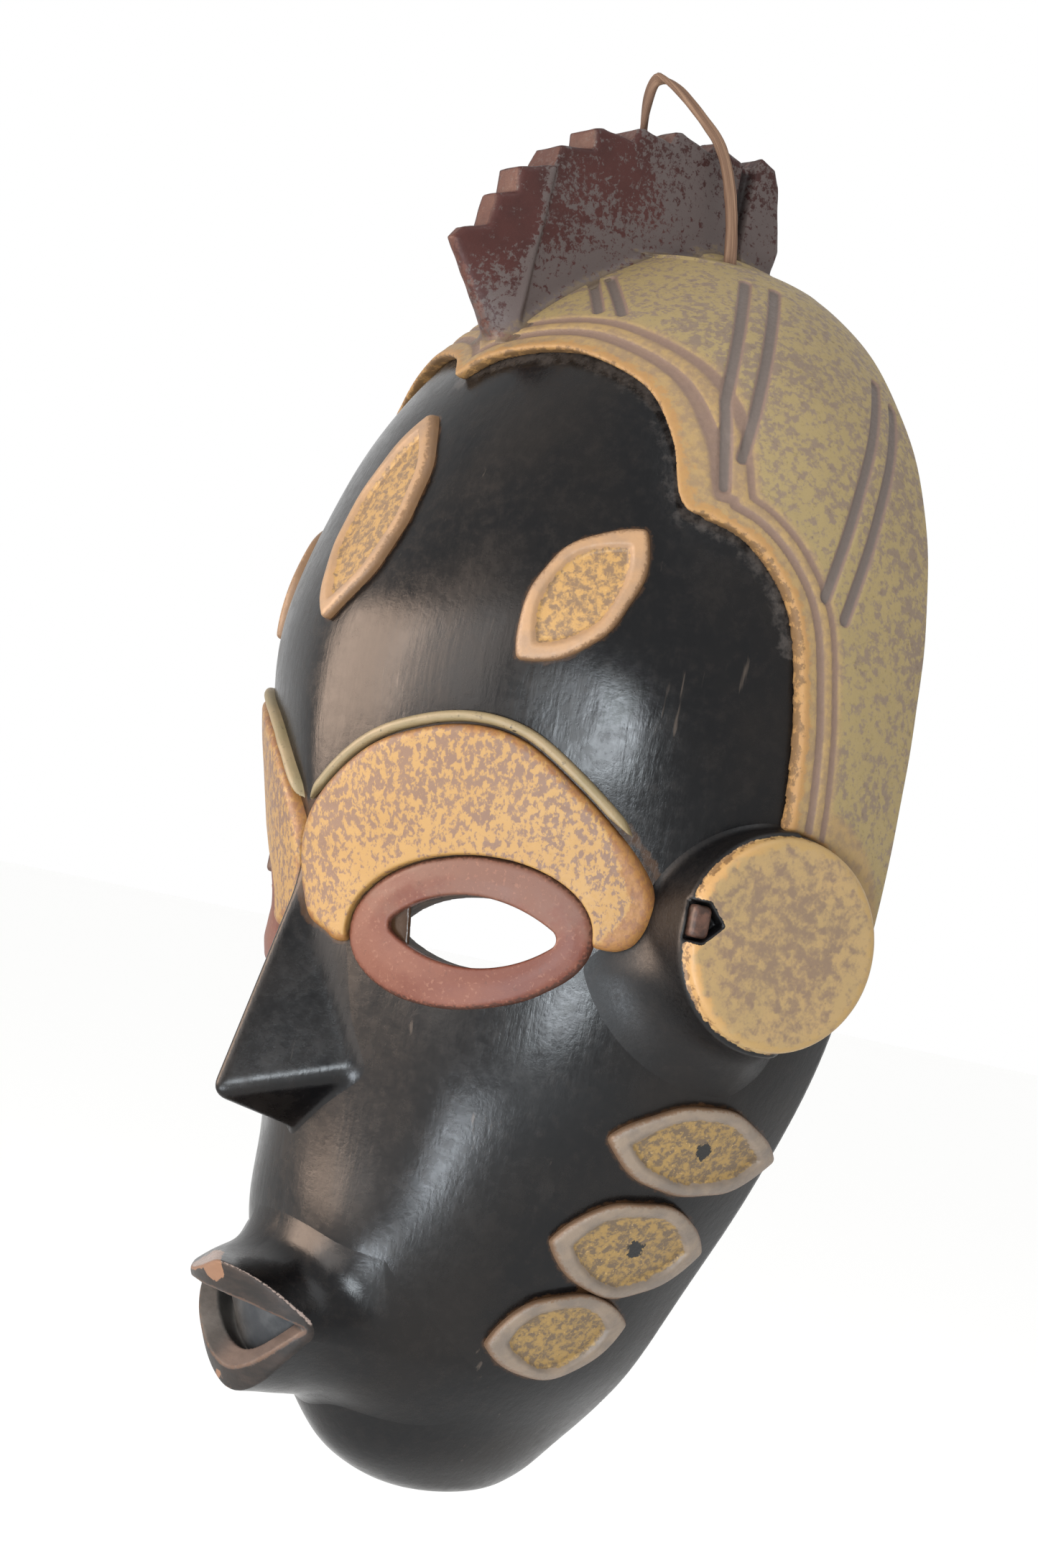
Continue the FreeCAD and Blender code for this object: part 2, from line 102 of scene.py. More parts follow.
def catmull(p0, p1, p2, p3, per):
    """Points from p1 towards p2 on a smooth line through all four."""
    return [0.5 * (2 * p1 + (p2 - p0) * t + (2 * p0 - 5 * p1 + 4 * p2 - p3) * t ** 2
                   + (3 * p1 - p0 - 3 * p2 + p3) * t ** 3) for t in np.arange(per) / per]


def closed_spline(points, count=160):
    """A smooth closed line through the points."""
    p = np.asarray(points, float)
    n = len(p)
    out = []
    for i in range(n):
        out += catmull(p[i - 1], p[i], p[(i + 1) % n], p[(i + 2) % n], max(2, count // n))
    return np.array(out)


def open_spline(points, per=14):
    """A smooth open line through the points."""
    p = np.asarray(points, float)
    p = np.vstack([2 * p[0] - p[1], p, 2 * p[-1] - p[-2]])
    out = []
    for i in range(1, len(p) - 2):
        out += catmull(p[i - 1], p[i], p[i + 1], p[i + 2], per)
    return np.array(out + [p[-2]])


class Outline:
    """Signed distance to a closed outline in a plane, looked up from a grid."""

    def __init__(self, points, margin=30.0, cell=0.4):
        p = np.asarray(points, float)
        self.low = p.min(0) - margin
        self.cell = cell
        n = np.ceil((p.max(0) + margin - self.low) / cell).astype(int) + 2
        gx, gy = np.meshgrid(self.low[0] + np.arange(n[0]) * cell, self.low[1] + np.arange(n[1]) * cell,
                             indexing="ij")
        best = np.full(gx.shape, 1e9)
        inside = np.zeros(gx.shape, bool)
        for i in range(len(p)):
            a, b = p[i], p[(i + 1) % len(p)]
            e = b - a
            wx, wy = gx - a[0], gy - a[1]
            t = np.clip((wx * e[0] + wy * e[1]) / max(e @ e, 1e-9), 0, 1)
            best = np.minimum(best, (wx - t * e[0]) ** 2 + (wy - t * e[1]) ** 2)
            crosses = (a[1] > gy) != (b[1] > gy)
            if abs(e[1]) > 1e-12:
                inside ^= crosses & (gx < a[0] + (gy - a[1]) * e[0] / e[1])
        self.grid = np.where(inside, -1.0, 1.0) * np.sqrt(best)

    def __call__(self, u, v):
        x = np.clip((u - self.low[0]) / self.cell, 0, self.grid.shape[0] - 1.001)
        y = np.clip((v - self.low[1]) / self.cell, 0, self.grid.shape[1] - 1.001)
        i, j = x.astype(int), y.astype(int)
        fx, fy = x - i, y - j
        g = self.grid
        low_row = g[i, j] * (1 - fx) + g[i + 1, j] * fx
        high_row = g[i, j + 1] * (1 - fx) + g[i + 1, j + 1] * fx
        return low_row * (1 - fy) + high_row * fy


def ripple(p, length, seed):
    """Gentle unevenness of hand carving, -1 to 1, about this long in mm."""
    rng = np.random.RandomState(seed)
    out = 0.0
    for _ in range(5):
        d = rng.normal(size=3)
        d *= 2 * math.pi / (length * rng.uniform(0.7, 1.4)) / np.linalg.norm(d)
        out = out + np.sin(p[:, 0] * d[0] + p[:, 1] * d[1] + p[:, 2] * d[2] + rng.uniform(0, 6.28))
    return out / 5.0


# ---------------------------------------------------------------- the head

# Height, half width, reach to the front, reach to the back, roundness of the front.
HEAD = (
    (0.0, 2.0, 38.0, -27.0, 2.0),
    (1.5, 9.0, 47.0, -17.0, 2.0),
    (5.0, 14.0, 57.0, -8.0, 2.0),
    (12.0, 20.0, 68.0, 0.0, 2.0),
    (24.0, 28.0, 78.0, 11.0, 2.0),
    (39.0, 39.0, 86.0, 24.0, 2.0),
    (59.0, 50.0, 92.0, 36.0, 2.0),
    (83.0, 63.0, 95.0, 46.0, 1.95),
    (112.0, 78.0, 99.0, 52.0, 1.8),
    (147.0, 89.0, 105.0, 58.0, 1.6),
    (181.0, 92.5, 113.0, 62.0, 1.65),
    (210.0, 92.5, 115.0, 62.0, 1.85),
    (240.0, 89.0, 108.0, 60.0, 2.0),
    (264.0, 83.0, 100.0, 54.0, 2.0),
    (284.0, 74.0, 90.0, 44.0, 2.0),
    (300.0, 62.5, 78.0, 34.0, 2.0),
    (313.0, 48.5, 64.0, 24.0, 2.0),
    (323.0, 34.0, 51.0, 14.0, 2.0),
    (329.0, 21.0, 41.0, 5.0, 2.0),
    (332.5, 10.0, 33.0, -6.0, 2.0),
    (334.0, 3.0, 28.0, -16.0, 2.0),
)
WALL = 11.0
HAIR = 3.0
BORE = 2.3                   # radius of the two cord holes
HOLE = (18.0, -26.5)
HOLLOW_MIDDLE = np.array([0.0, -25.0, 167.0])
HOLLOW_REACH = np.array([92.5, 88.0, 167.0])

_rows = np.array(HEAD)
_z = np.arange(-40.0, 400.0, 0.25)
_half = (_rows[:, 2] + _rows[:, 3]) / 2
_width2 = natural_spline(_rows[:, 0], _rows[:, 1] ** 2, _z)
_ratio = natural_spline(_rows[1:-2, 0], (_rows[:, 1] / _half)[1:-2], np.clip(_z, 1.5, 329.0))
_middle = natural_spline(_rows[:, 0], (_rows[:, 3] - _rows[:, 2]) / 2, _z)
_power = np.clip(natural_spline(_rows[:, 0], _rows[:, 4], _z), 1.55, 2.0)


def _level(x, y, z):
    a2 = np.interp(z, _z, _width2)
    big = np.abs(x)
    c = np.interp(z, _z, _middle)
    side = (y - c) * np.interp(z, _z, _ratio)
    p = np.where(side < 0, np.interp(z, _z, _power), 2.0)
    deep = np.abs(side)
    q2 = (big ** p + deep ** p) ** (2.0 / p)
    return q2 - a2


def bare_head(p):
    """About the distance to the plain head, outside positive."""
    x, y, z = p[:, 0], p[:, 1], p[:, 2]
    g = _level(x, y, z)
    e = 0.4
    gx = (_level(x + e, y, z) - g) / e
    gy = (_level(x, y + e, z) - g) / e
    gz = (_level(x, y, z + e) - g) / e
    return g / np.sqrt(gx * gx + gy * gy + gz * gz + 1.0)


def swell(p, centre, radii, height):
    """A soft rise (or dip) of the surface round a point; mirrored across X."""
    d = ((np.abs(p[:, 0]) - centre[0]) / radii[0]) ** 2 + ((p[:, 1] - centre[1]) / radii[1]) ** 2 \
        + ((p[:, 2] - centre[2]) / radii[2]) ** 2
    return height * np.exp(-d)


def head(p):
    d = bare_head(p)
    d = d - swell(p, (24, -84, 62), (16, 22, 18), 2.2)      # muscle beside the mouth
    d = d + swell(p, (26, -96, 104), (12, 20, 22), 1.6)     # hollow beside the nose
    d = d - swell(p, (0, -112, 216), (34, 30, 22), 1.2)     # brow of the forehead
    d = d + swell(p, (62, -80, 205), (14, 22, 12), 1.0)     # dip above the brow pads
    return d + 0.25 * ripple(p, 38.0, 3)


# ---------------------------------------------------- surfaces from distances

CORNERS = tuple(product((0, 1), repeat=3))


def surface_mesh(field, low, high, cell, rounds=2):
    """The zero surface of a distance field, as points and quads facing outwards."""
    block = 6
    low = np.asarray(low, float)
    blocks = np.ceil((np.asarray(high, float) - low) / (cell * block)).astype(int)
    count = blocks * block + 1
    axes = [low[i] + (np.arange(blocks[i]) + 0.5) * block * cell for i in range(3)]
    centres = np.stack(np.meshgrid(*axes, indexing="ij"), -1).reshape(-1, 3)
    coarse = in_chunks(field, centres).reshape(blocks)
    near = np.abs(coarse) < block * cell * 1.45
    wanted = np.zeros(count, bool)
    fine = near.repeat(block, 0).repeat(block, 1).repeat(block, 2)
    for i, j, k in CORNERS:
        wanted[i:i + fine.shape[0], j:j + fine.shape[1], k:k + fine.shape[2]] |= fine
    spread = coarse.repeat(block, 0).repeat(block, 1).repeat(block, 2)
    values = np.pad(spread, ((0, 1), (0, 1), (0, 1)), mode="edge").astype(np.float32)
    where = np.argwhere(wanted)
    values[wanted] = in_chunks(field, low + where * cell)
    inside = values < 0
    total = np.zeros([n - 1 for n in count], np.uint8)
    for i, j, k in CORNERS:
        total += inside[i:i + total.shape[0], j:j + total.shape[1], k:k + total.shape[2]]
    active = (total > 0) & (total < 8) & fine
    cells = np.argwhere(active)
    number = np.full(total.shape, -1, np.int64)
    number[active] = np.arange(len(cells))
    corner = {}
    for i, j, k in CORNERS:
        corner[i, j, k] = values[cells[:, 0] + i, cells[:, 1] + j, cells[:, 2] + k].astype(float)
    place = np.zeros((len(cells), 3))
    hits = np.zeros(len(cells))
    for a in corner:
        for axis in range(3):
            if a[axis] == 0:
                b = tuple(v + (n == axis) for n, v in enumerate(a))
                crossing = (corner[a] < 0) != (corner[b] < 0)
                gap = corner[a] - corner[b]
                share = np.where(crossing, corner[a] / np.where(gap == 0, 1, gap), 0)
                offset = np.array(a, float)[None, :].repeat(len(cells), 0)
                offset[:, axis] += share
                place += offset * crossing[:, None]
                hits += crossing
    points = low + (cells + place / hits[:, None]) * cell
    quads = []
    for axis in range(3):
        u, v = (axis + 1) % 3, (axis + 2) % 3
        first = [slice(1, -1)] * 3
        second = [slice(1, -1)] * 3
        first[axis] = slice(0, -1)
        second[axis] = slice(1, None)
        edge = np.argwhere(inside[tuple(first)] != inside[tuple(second)])
        for n in (u, v):
            edge[:, n] += 1
        start = inside[edge[:, 0], edge[:, 1], edge[:, 2]]
        ring = []
        for du, dv in ((1, 1), (0, 1), (0, 0), (1, 0)):
            cell_at = edge.copy()
            cell_at[:, u] -= du
            cell_at[:, v] -= dv
            ring.append(number[cell_at[:, 0], cell_at[:, 1], cell_at[:, 2]])
        ring = np.stack(ring, 1)
        ring = np.where(start[:, None], ring, ring[:, ::-1])
        quads.append(ring[(ring >= 0).all(1)])
    quads = np.concatenate(quads)
    e = 0.2 * cell
    for _ in range(rounds):
        d = in_chunks(field, points)
        slope = np.stack([(in_chunks(field, points + e * axis) - d) / e for axis in np.eye(3)], 1)
        step = d / np.maximum((slope ** 2).sum(1), 0.2)
        points = points - slope * np.clip(step, -0.5 * cell, 0.5 * cell)[:, None]
    used = np.unique(quads)
    renumber = np.full(len(points), -1, np.int64)
    renumber[used] = np.arange(len(used))
    return points[used], renumber[quads]


def in_chunks(field, points, size=400000):
    if len(points) <= size:
        return field(points)
    return np.concatenate([field(points[i:i + size]) for i in range(0, len(points), size)])


def make_object(name, points, faces, attributes=None):
    """A smooth-shaded mesh object from design points and quads."""
    mesh = bpy.data.meshes.new(name)
    n = faces.shape[1]
    mesh.vertices.add(len(points))
    mesh.vertices.foreach_set("co", to_frame(points).astype(np.float32).ravel())
    mesh.loops.add(len(faces) * n)
    mesh.loops.foreach_set("vertex_index", faces.astype(np.int32).ravel())
    mesh.polygons.add(len(faces))
    mesh.polygons.foreach_set("loop_start", np.arange(0, len(faces) * n, n, dtype=np.int32))
    mesh.update(calc_edges=True)
    mesh.validate()
    mesh.shade_smooth()
    for key, values in (attributes or {}).items():
        layer = mesh.attributes.new(key, "FLOAT", "POINT")
        layer.data.foreach_set("value", np.asarray(values, np.float32))
    piece = bpy.data.objects.new(name, mesh)
    bpy.context.scene.collection.objects.link(piece)
    return piece


def carve(name, field, low, high, cell, material, nodes, slot, marks=None, rounds=2):
    """Builds one carved piece and puts it in the place of its CAD nodes."""
    points, faces = surface_mesh(field, low, high, cell, rounds)
    attributes = marks(points) if marks else {}
    piece = make_object(name, points, faces, attributes)
    piece.data.materials.append(material)
    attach(piece, "root")
    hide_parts(*nodes)
    return piece


# ------------------------------------------------------------------ materials

DULLING = 0.53               # how much darker every paint is than it looks in this light


def linear(colour):
    """sRGB numbers, 0 to 1, as the paint looks in this light, to Blender's linear colour."""
    light = [c / 12.92 if c <= 0.04045 else ((c + 0.055) / 1.055) ** 2.4 for c in colour]
    return tuple(DULLING * c for c in light) + (1.0,)


class Paint:
    """A node material whose texture sizes are given in millimetres."""

    def __init__(self, name, roughness=0.5, specular=0.5):
        self.material = bpy.data.materials.new(name)
        self.material.use_nodes = True
        tree = self.material.node_tree
        self.nodes = tree.nodes
        self.links = tree.links
        self.shader = self.nodes["Principled BSDF"]
        self.shader.inputs["Roughness"].default_value = roughness
        self.shader.inputs["Specular IOR Level"].default_value = specular
        self.place = self.nodes.new("ShaderNodeTexCoord").outputs["Object"]

    def put(self, socket, value):
        if isinstance(value, bpy.types.NodeSocket):
            self.links.new(value, socket)
        elif isinstance(value, (tuple, list)) and len(value) == 3 and socket.type == "RGBA":
            socket.default_value = linear(value)
        else:
            socket.default_value = value

    def math(self, kind, a, b=0.0, c=0.0):
        node = self.nodes.new("ShaderNodeMath")
        node.operation = kind
        for socket, value in zip(node.inputs, (a, b, c)):
            self.put(socket, value)
        return node.outputs[0]

    def add(self, a, b):
        return self.math("ADD", a, b)

    def times(self, a, b):
        return self.math("MULTIPLY", a, b)

    def band(self, value, low, high, bottom=0.0, top=1.0):
        """Rises smoothly from bottom to top as value goes from low to high."""
        node = self.nodes.new("ShaderNodeMapRange")
        node.interpolation_type = "SMOOTHSTEP"
        for key, number in (("Value", value), ("From Min", low), ("From Max", high), ("To Min", bottom),
                            ("To Max", top)):
            self.put(node.inputs[key], number)
        return node.outputs["Result"]

    def stretched(self, x=1.0, y=1.0, z=1.0, turn=(0.0, 0.0, 0.0)):
        node = self.nodes.new("ShaderNodeMapping")
        node.inputs["Scale"].default_value = (x, y, z)
        node.inputs["Rotation"].default_value = turn
        self.links.new(self.place, node.inputs["Vector"])
        return node.outputs["Vector"]

    def noise(self, size, detail=3.0, rough=0.55, warp=0.0, vector=None, seed=0.0):
        """Cloudy noise, about 0 to 1, with features this many millimetres across."""
        node = self.nodes.new("ShaderNodeTexNoise")
        node.noise_dimensions = "4D"
        self.put(node.inputs["Vector"], vector or self.place)
        for key, number in (("Scale", 1000.0 / size), ("Detail", detail), ("Roughness", rough),
                            ("Distortion", warp), ("W", seed)):
            node.inputs[key].default_value = number
        return node.outputs[0]

    def ragged(self, value, reach, size, detail, rough, seed):
        """The value with noise of up to this reach added or taken off."""
        cloud = self.noise(size, detail, rough, seed=seed)
        return self.add(value, self.band(cloud, 0.3, 0.7, -reach, reach))

    def over(self, colour, value, low, high, top, paint):
        """Paint laid over a colour, up to this share, where the value passes from low to high."""
        return self.mix(self.band(value, low, high, 0.0, top), colour, paint)

    def blend(self, value, low, high, a, b):
        """From one colour to another as the value goes from low to high."""
        return self.mix(self.band(value, low, high), a, b)

    def mark(self, name):
        node = self.nodes.new("ShaderNodeAttribute")
        node.attribute_name = name
        return node.outputs["Fac"]

    def mix(self, share, a, b):
        node = self.nodes.new("ShaderNodeMix")
        node.data_type = "RGBA"
        self.put(node.inputs[0], share)
        self.put(node.inputs[6], a)
        self.put(node.inputs[7], b)
        return node.outputs[2]

    def finish(self, colour, roughness=None, bumps=()):
        """bumps: (height, depth in mm) pairs, applied one after the other."""
        self.put(self.shader.inputs["Base Color"], colour)
        if roughness is not None:
            self.put(self.shader.inputs["Roughness"], roughness)
        normal = None
        for height, depth in bumps:
            node = self.nodes.new("ShaderNodeBump")
            node.inputs["Strength"].default_value = 1.0
            node.inputs["Distance"].default_value = depth / 1000.0
            self.links.new(height, node.inputs["Height"])
            if normal is not None:
                self.links.new(normal, node.inputs["Normal"])
            normal = node.outputs["Normal"]
        if normal is not None:
            self.links.new(normal, self.shader.inputs["Normal"])
        return self.material


# --------------------------------------------------------------------- shapes

EYE_CENTRE = (43.0, -84.0, 146.0)
EYE_TURN = 32.0
RING_HALF = (32.0, 18.3)
RING_TILT = 12.5
RING_SHIFT = (-1.0, 0.0)
RING = 2.4
HOLE_HALF = (21.5, 8.6)
HOLE_TILT = 6.0
HOLE_SHIFT = (0.5, 0.6)
BROW = 3.2
BROW_EDGE = 3.0
BROW_OUTLINE = (
    (-33, -8), (-40, -6.5), (-46, -3.5), (-49.7, 5), (-50.7, 14), (-47.5, 23.2), (-41, 31.6), (-33, 38.8),
    (-24, 43.8), (-11, 48), (0, 49), (10, 46.8), (21, 40), (31, 32), (39, 23.8), (43.3, 15.5), (42, 9),
    (38, 4), (29, 3), (0, 8), (-20, 2),
)
MARK = 2.6
MARK_FLOOR = 1.0
BLUNT = 1.6                  # rounding of the leaf tips
# Leaf marks: centre, turn, half length, half width, tilt.
FOREHEAD_MARK = ((61.5, -86, 230), 45.0, 21.4, 11.2, 57.3)
CENTRE_MARK = ((0, -108, 243.5), 0.0, 28.5, 13.0, 90.0)
CHEEK_MARKS = {
    "upper": ((73.5, -27, 105), 70.0, 24.2, 11.8, 1.0),
    "middle": ((59.5, -30, 77.5), 70.0, 21.8, 13.2, 3.0),
    "lower": ((46, -36, 52), 70.0, 19.0, 12.0, 14.5),
}


def on_plane(p, centre, turn, side=1.0):
    """Coordinates along, up and out of a plane turned sideways about Z."""
    a = math.radians(turn)
    x = p[:, 0] * side - centre[0]
    y = p[:, 1] - centre[1]
    return x * math.cos(a) + y * math.sin(a), p[:, 2] - centre[2], x * math.sin(a) - y * math.cos(a)


def tilted(u, v, tilt, shift=(0.0, 0.0)):
    a = math.radians(tilt)
    u, v = u - shift[0], v - shift[1]
    return u * math.cos(a) + v * math.sin(a), v * math.cos(a) - u * math.sin(a)


def leaf(u, v, half_length, half_width):
    """Signed distance to a leaf: two arcs meeting in points."""
    radius = (half_length ** 2 + half_width ** 2) / (2.0 * half_width)
    drop = radius - half_width
    u, v = np.abs(u), np.abs(v)
    arc = np.hypot(u, v + drop) - radius
    past = u * drop - v * half_length > half_length * drop
    tip = np.hypot(u - half_length, v)
    return np.where(past, tip, arc)


def ellipse(u, v, half):
    q = np.hypot(u / half[0], v / half[1])
    g = np.hypot(u / half[0] ** 2, v / half[1] ** 2) / np.maximum(q, 1e-6)
    return (q - 1.0) / np.maximum(g, 0.5 / max(half))


BROW_SHAPE = Outline(closed_spline(BROW_OUTLINE, 200))


def eye_lines(p, side):
    """Distances to the ring, the eye hole and the brow outline."""
    u, v, out = on_plane(p, EYE_CENTRE, EYE_TURN, side)
    ring = ellipse(*tilted(u, v, RING_TILT, RING_SHIFT), RING_HALF)
    hole = leaf(*tilted(u, v, HOLE_TILT, HOLE_SHIFT), HOLE_HALF[0] - 2.5, HOLE_HALF[1] - 2.5) - 2.5
    behind = np.maximum(-30.0 - out, 0.0)
    return ring + behind, hole + behind, BROW_SHAPE(u, v) + behind


def ring_field(side):
    def field(p):
        ring, hole, _ = eye_lines(p, side)
        top = RING - 0.7 * step01(-7.0, 0.0, ring) - 0.5 * step01(5.0, 0.0, hole)
        d = smooth_max(head(p) - top, ring + 0.15 * ripple(p, 14.0, 5), 2.2)
        d = smooth_max(d, -hole, 1.0)
        return np.maximum(d, -head(p) - 1.0)
    return field


def brow_field(side):
    def field(p):
        ring, _, brow = eye_lines(p, side)
        h = head(p)
        top = BROW + 0.12 * ripple(p, 11.0, 6)
        d = smooth_max(h - top, brow, 2.6)
        d = smooth_max(d, 0.1 - ring, 0.8)
        d = smooth_max(d, 0.4 - p[:, 0] * side, 1.0)
        return np.maximum(d, -h - 0.6)
    return field


def brow_edge_field(side):
    def field(p):
        _, _, brow = eye_lines(p, side)
        u, v, _ = on_plane(p, EYE_CENTRE, EYE_TURN, side)
        h = head(p)
        foot = 22.0 + 0.07 * (u + 48.0)
        width = 1.75 * step01(foot, foot + 7.0, v) - 0.45
        d = smooth_max(h - BROW_EDGE + 0.3 + 0.12 * ripple(p, 7.0, 17), np.abs(brow - 1.9) - width, 1.8)
        d = smooth_max(d, 0.3 - p[:, 0] * side, 0.8)
        return np.maximum(d, -h - 0.6)
    return field


def mark_lines(p, mark, side):
    centre, turn, half_length, half_width, tilt = mark
    u, v, out = on_plane(p, centre, turn, side)
    behind = np.maximum(-25.0 - out, 0.0)
    u, v = tilted(u, v, tilt)
    wobble = 0.3 * np.sin(0.21 * u + centre[2]) + 0.2 * np.sin(0.43 * u + 2.0)
    outer = leaf(u, v + wobble, half_length - BLUNT, half_width - BLUNT) - BLUNT
    inner = leaf(u, v + wobble, half_length - 6.0, half_width - 3.6)
    return outer + behind, inner + behind


def mark_field(mark, side):
    def field(p):
        outer, inner = mark_lines(p, mark, side)
        h = head(p)
        top = MARK_FLOOR + (MARK - MARK_FLOOR) * step01(-0.9, 1.5, inner)
        d = smooth_max(h - top, outer, 1.8)
        return np.maximum(d, -h - 0.6)
    return field


# Nose: a plain pyramid.  Each face is given by three corners.
NOSE_ROOT = (0, -110.5, 155)
NOSE_TIP = (0, -124.3, 94.2)
NOSE_WING = (22.5, -92, 108)
NOSE_SIDE = (16, -97, 125)
NOSE_BASE = (0, -92, 87)


def plane_through(a, b, c, inside=(0, -80, 115)):
    a, b, c = (np.array(v, float) for v in (a, b, c))
    n = np.cross(b - a, c - a)
    n = n / np.linalg.norm(n)
    if (np.array(inside) - a) @ n > 0:
        n = -n
    return n, a @ n


NOSE_PLANES = (
    plane_through(NOSE_ROOT, NOSE_SIDE, NOSE_TIP),
    plane_through(NOSE_SIDE, NOSE_WING, NOSE_TIP),
    plane_through(NOSE_WING, NOSE_BASE, NOSE_TIP),
)


def nose_field(p):
    q = p.copy()
    q[:, 0] = np.sqrt(q[:, 0] ** 2 + 2.0)
    upper, side, under = [q @ normal - offset for normal, offset in NOSE_PLANES]
    d = smooth_max(smooth_max(upper, side, 4.0), under, 3.0)
    h = head(p)
    far = np.maximum(np.maximum(84.0 - p[:, 2], p[:, 2] - 166.0), np.abs(p[:, 0]) - 31.0)
    d = smooth_min(d, h + 0.25, 2.5 + 3.0 * step01(116.0, 140.0, p[:, 2]))
    return smooth_max(np.maximum(d, -h - 1.5), far, 2.0)


# Mouth: a pouting muzzle with a bowed, leaning front and a lens-shaped opening.
MUZZLE_TOP = (0.0, -114.0, 56.0)
MUZZLE_BOTTOM = (0.0, -98.5, 22.5)
MUZZLE_BOW = (31.0, 26.0)
LIP_CORNER = 26.4
RIM_MIDDLE = 44.0
RIDGE = 6.0                  # how deep inside the opening its floor has a ridge
MOUTH_DEPTH = 10.0


def lip_front(p):
    """Distance to the bowed front that cuts the muzzle off."""
    slope = (MUZZLE_BOTTOM[1] - MUZZLE_TOP[1]) / (MUZZLE_BOTTOM[2] - MUZZLE_TOP[2])
    middle = MUZZLE_TOP[1] + MUZZLE_BOW[1] + slope * (p[:, 2] - MUZZLE_TOP[2])
    return ellipse(p[:, 0], np.minimum(p[:, 1] - middle, 0.0), MUZZLE_BOW)


def between(x, z, top, bottom, half, k):
    """Distance to the lens between two arcs: height at the middle, rise, power."""
    u = np.abs(x) / half
    du = 1.0 / half
    high = z - top[0] - top[1] * u ** top[2]
    low = bottom[0] + bottom[1] * u ** bottom[2] - z
    high = high / np.hypot(1.0, top[1] * top[2] * np.minimum(u, 1.2) ** (top[2] - 1.0) * du)
    low = low / np.hypot(1.0, bottom[1] * bottom[2] * np.minimum(u, 1.2) ** (bottom[2] - 1.0) * du)
    return smooth_max(smooth_max(high, low, k), np.abs(x) - half, k)


def muzzle_body(p):
    """The muzzle's outline in front, swelling gently towards the face."""
    scale = 1.0 + 0.0055 * np.clip(-lip_front(p), 0.0, 45.0)
    z = RIM_MIDDLE + (p[:, 2] - RIM_MIDDLE) / np.where(p[:, 2] > RIM_MIDDLE, scale, 1.0)
    d = between(p[:, 0] / scale, z, (55.5, -9.0, 4.0), (22.7, 20.0, 1.9), LIP_CORNER, 1.0)
    return d * scale + 0.12 * ripple(p, 12.0, 9)


def muzzle(p):
    return smooth_max(muzzle_body(p), lip_front(p), 0.7)


def mouth_hollow(p):
    """The opening: its floor rises to a ridge, then drops behind it."""
    deep = np.maximum(-lip_front(p), 0.0)
    rise = 0.8 * np.minimum(deep, RIDGE) - 0.7 * np.maximum(deep - RIDGE, 0.0)
    narrow = 1.0 + 0.02 * deep
    top = (47.6, -3.2, 3.0)
    x = p[:, 0] * narrow
    floor = between(x, p[:, 2] - rise, (90.0, 0.0, 3.0), (28.4, 15.2, 1.8), 25.7, 0.6)
    roof = between(x, p[:, 2] + 0.10 * deep, top, (-20.0, 0.0, 2.0), 25.7, 0.6)
    return smooth_max(np.maximum(floor, roof), deep - MOUTH_DEPTH, 2.0) + 0.1 * ripple(p, 9.0, 10)


CHIP_POINT = np.array([3.0, -112.4, 54.6])
CHIP_FACING = np.array([-0.38, -0.60, 0.70])


def lip_chip(p):
    """Distance to the break that took the tip off the upper lip."""
    return (p - CHIP_POINT) @ CHIP_FACING - 60.0 * step01(-14.0, -22.0, lip_front(p))


def mouth_field(p):
    h = head(p)
    low = step01(38.0, 22.0, p[:, 2])
    near_middle = step01(26.0, 8.0, np.abs(p[:, 0]))
    d = smooth_min(muzzle(p), h + 0.25, 14.0 - 10.0 * low * near_middle)
    d = smooth_max(d, lip_front(p) - 60.0 * step01(27.0, 30.0, np.abs(p[:, 0])), 0.7)
    d = smooth_max(d, lip_chip(p), 1.2)
    d = smooth_max(d, -mouth_hollow(p), 0.5)
    far = ellipse(p[:, 0], p[:, 2] - 40.0, (52.0, 39.0))
    d = smooth_max(d, far, 2.0)
    return np.maximum(d, -h - 1.5)


# Ears: thick discs standing off the head, notched in front.
EAR_CENTRE = (101.0, -36.6, 158.5)
EAR_RADIUS = 25.6
EAR_TURN = 80.0
EAR_GAP = 0.8
EAR_BOARD = 93.0             # the curved cuts in the back rim stop here
LEFT_NOTCH = (8.8, 6.0, -3.0)        # depth, top, bottom
RIGHT_NOTCH = (8.0, 3.0, -13.0)
NOTCH_SUNK = 4.0
STUB = (4.9, 7.8)
STUB_SUNK = 0.8


def ear_notch(u, v, notch):
    """Distance to the notch cut into the front edge of an ear."""
    depth, top, bottom = notch
    edge = u + EAR_RADIUS
    middle = (top + bottom) / 2.0
    half = (top - bottom) / 2.0
    across = np.abs(v - middle) - half + 1.0 * np.maximum(edge - depth * 0.4, 0.0)
    return np.maximum(np.maximum(edge - depth, across), 0.0 - edge)


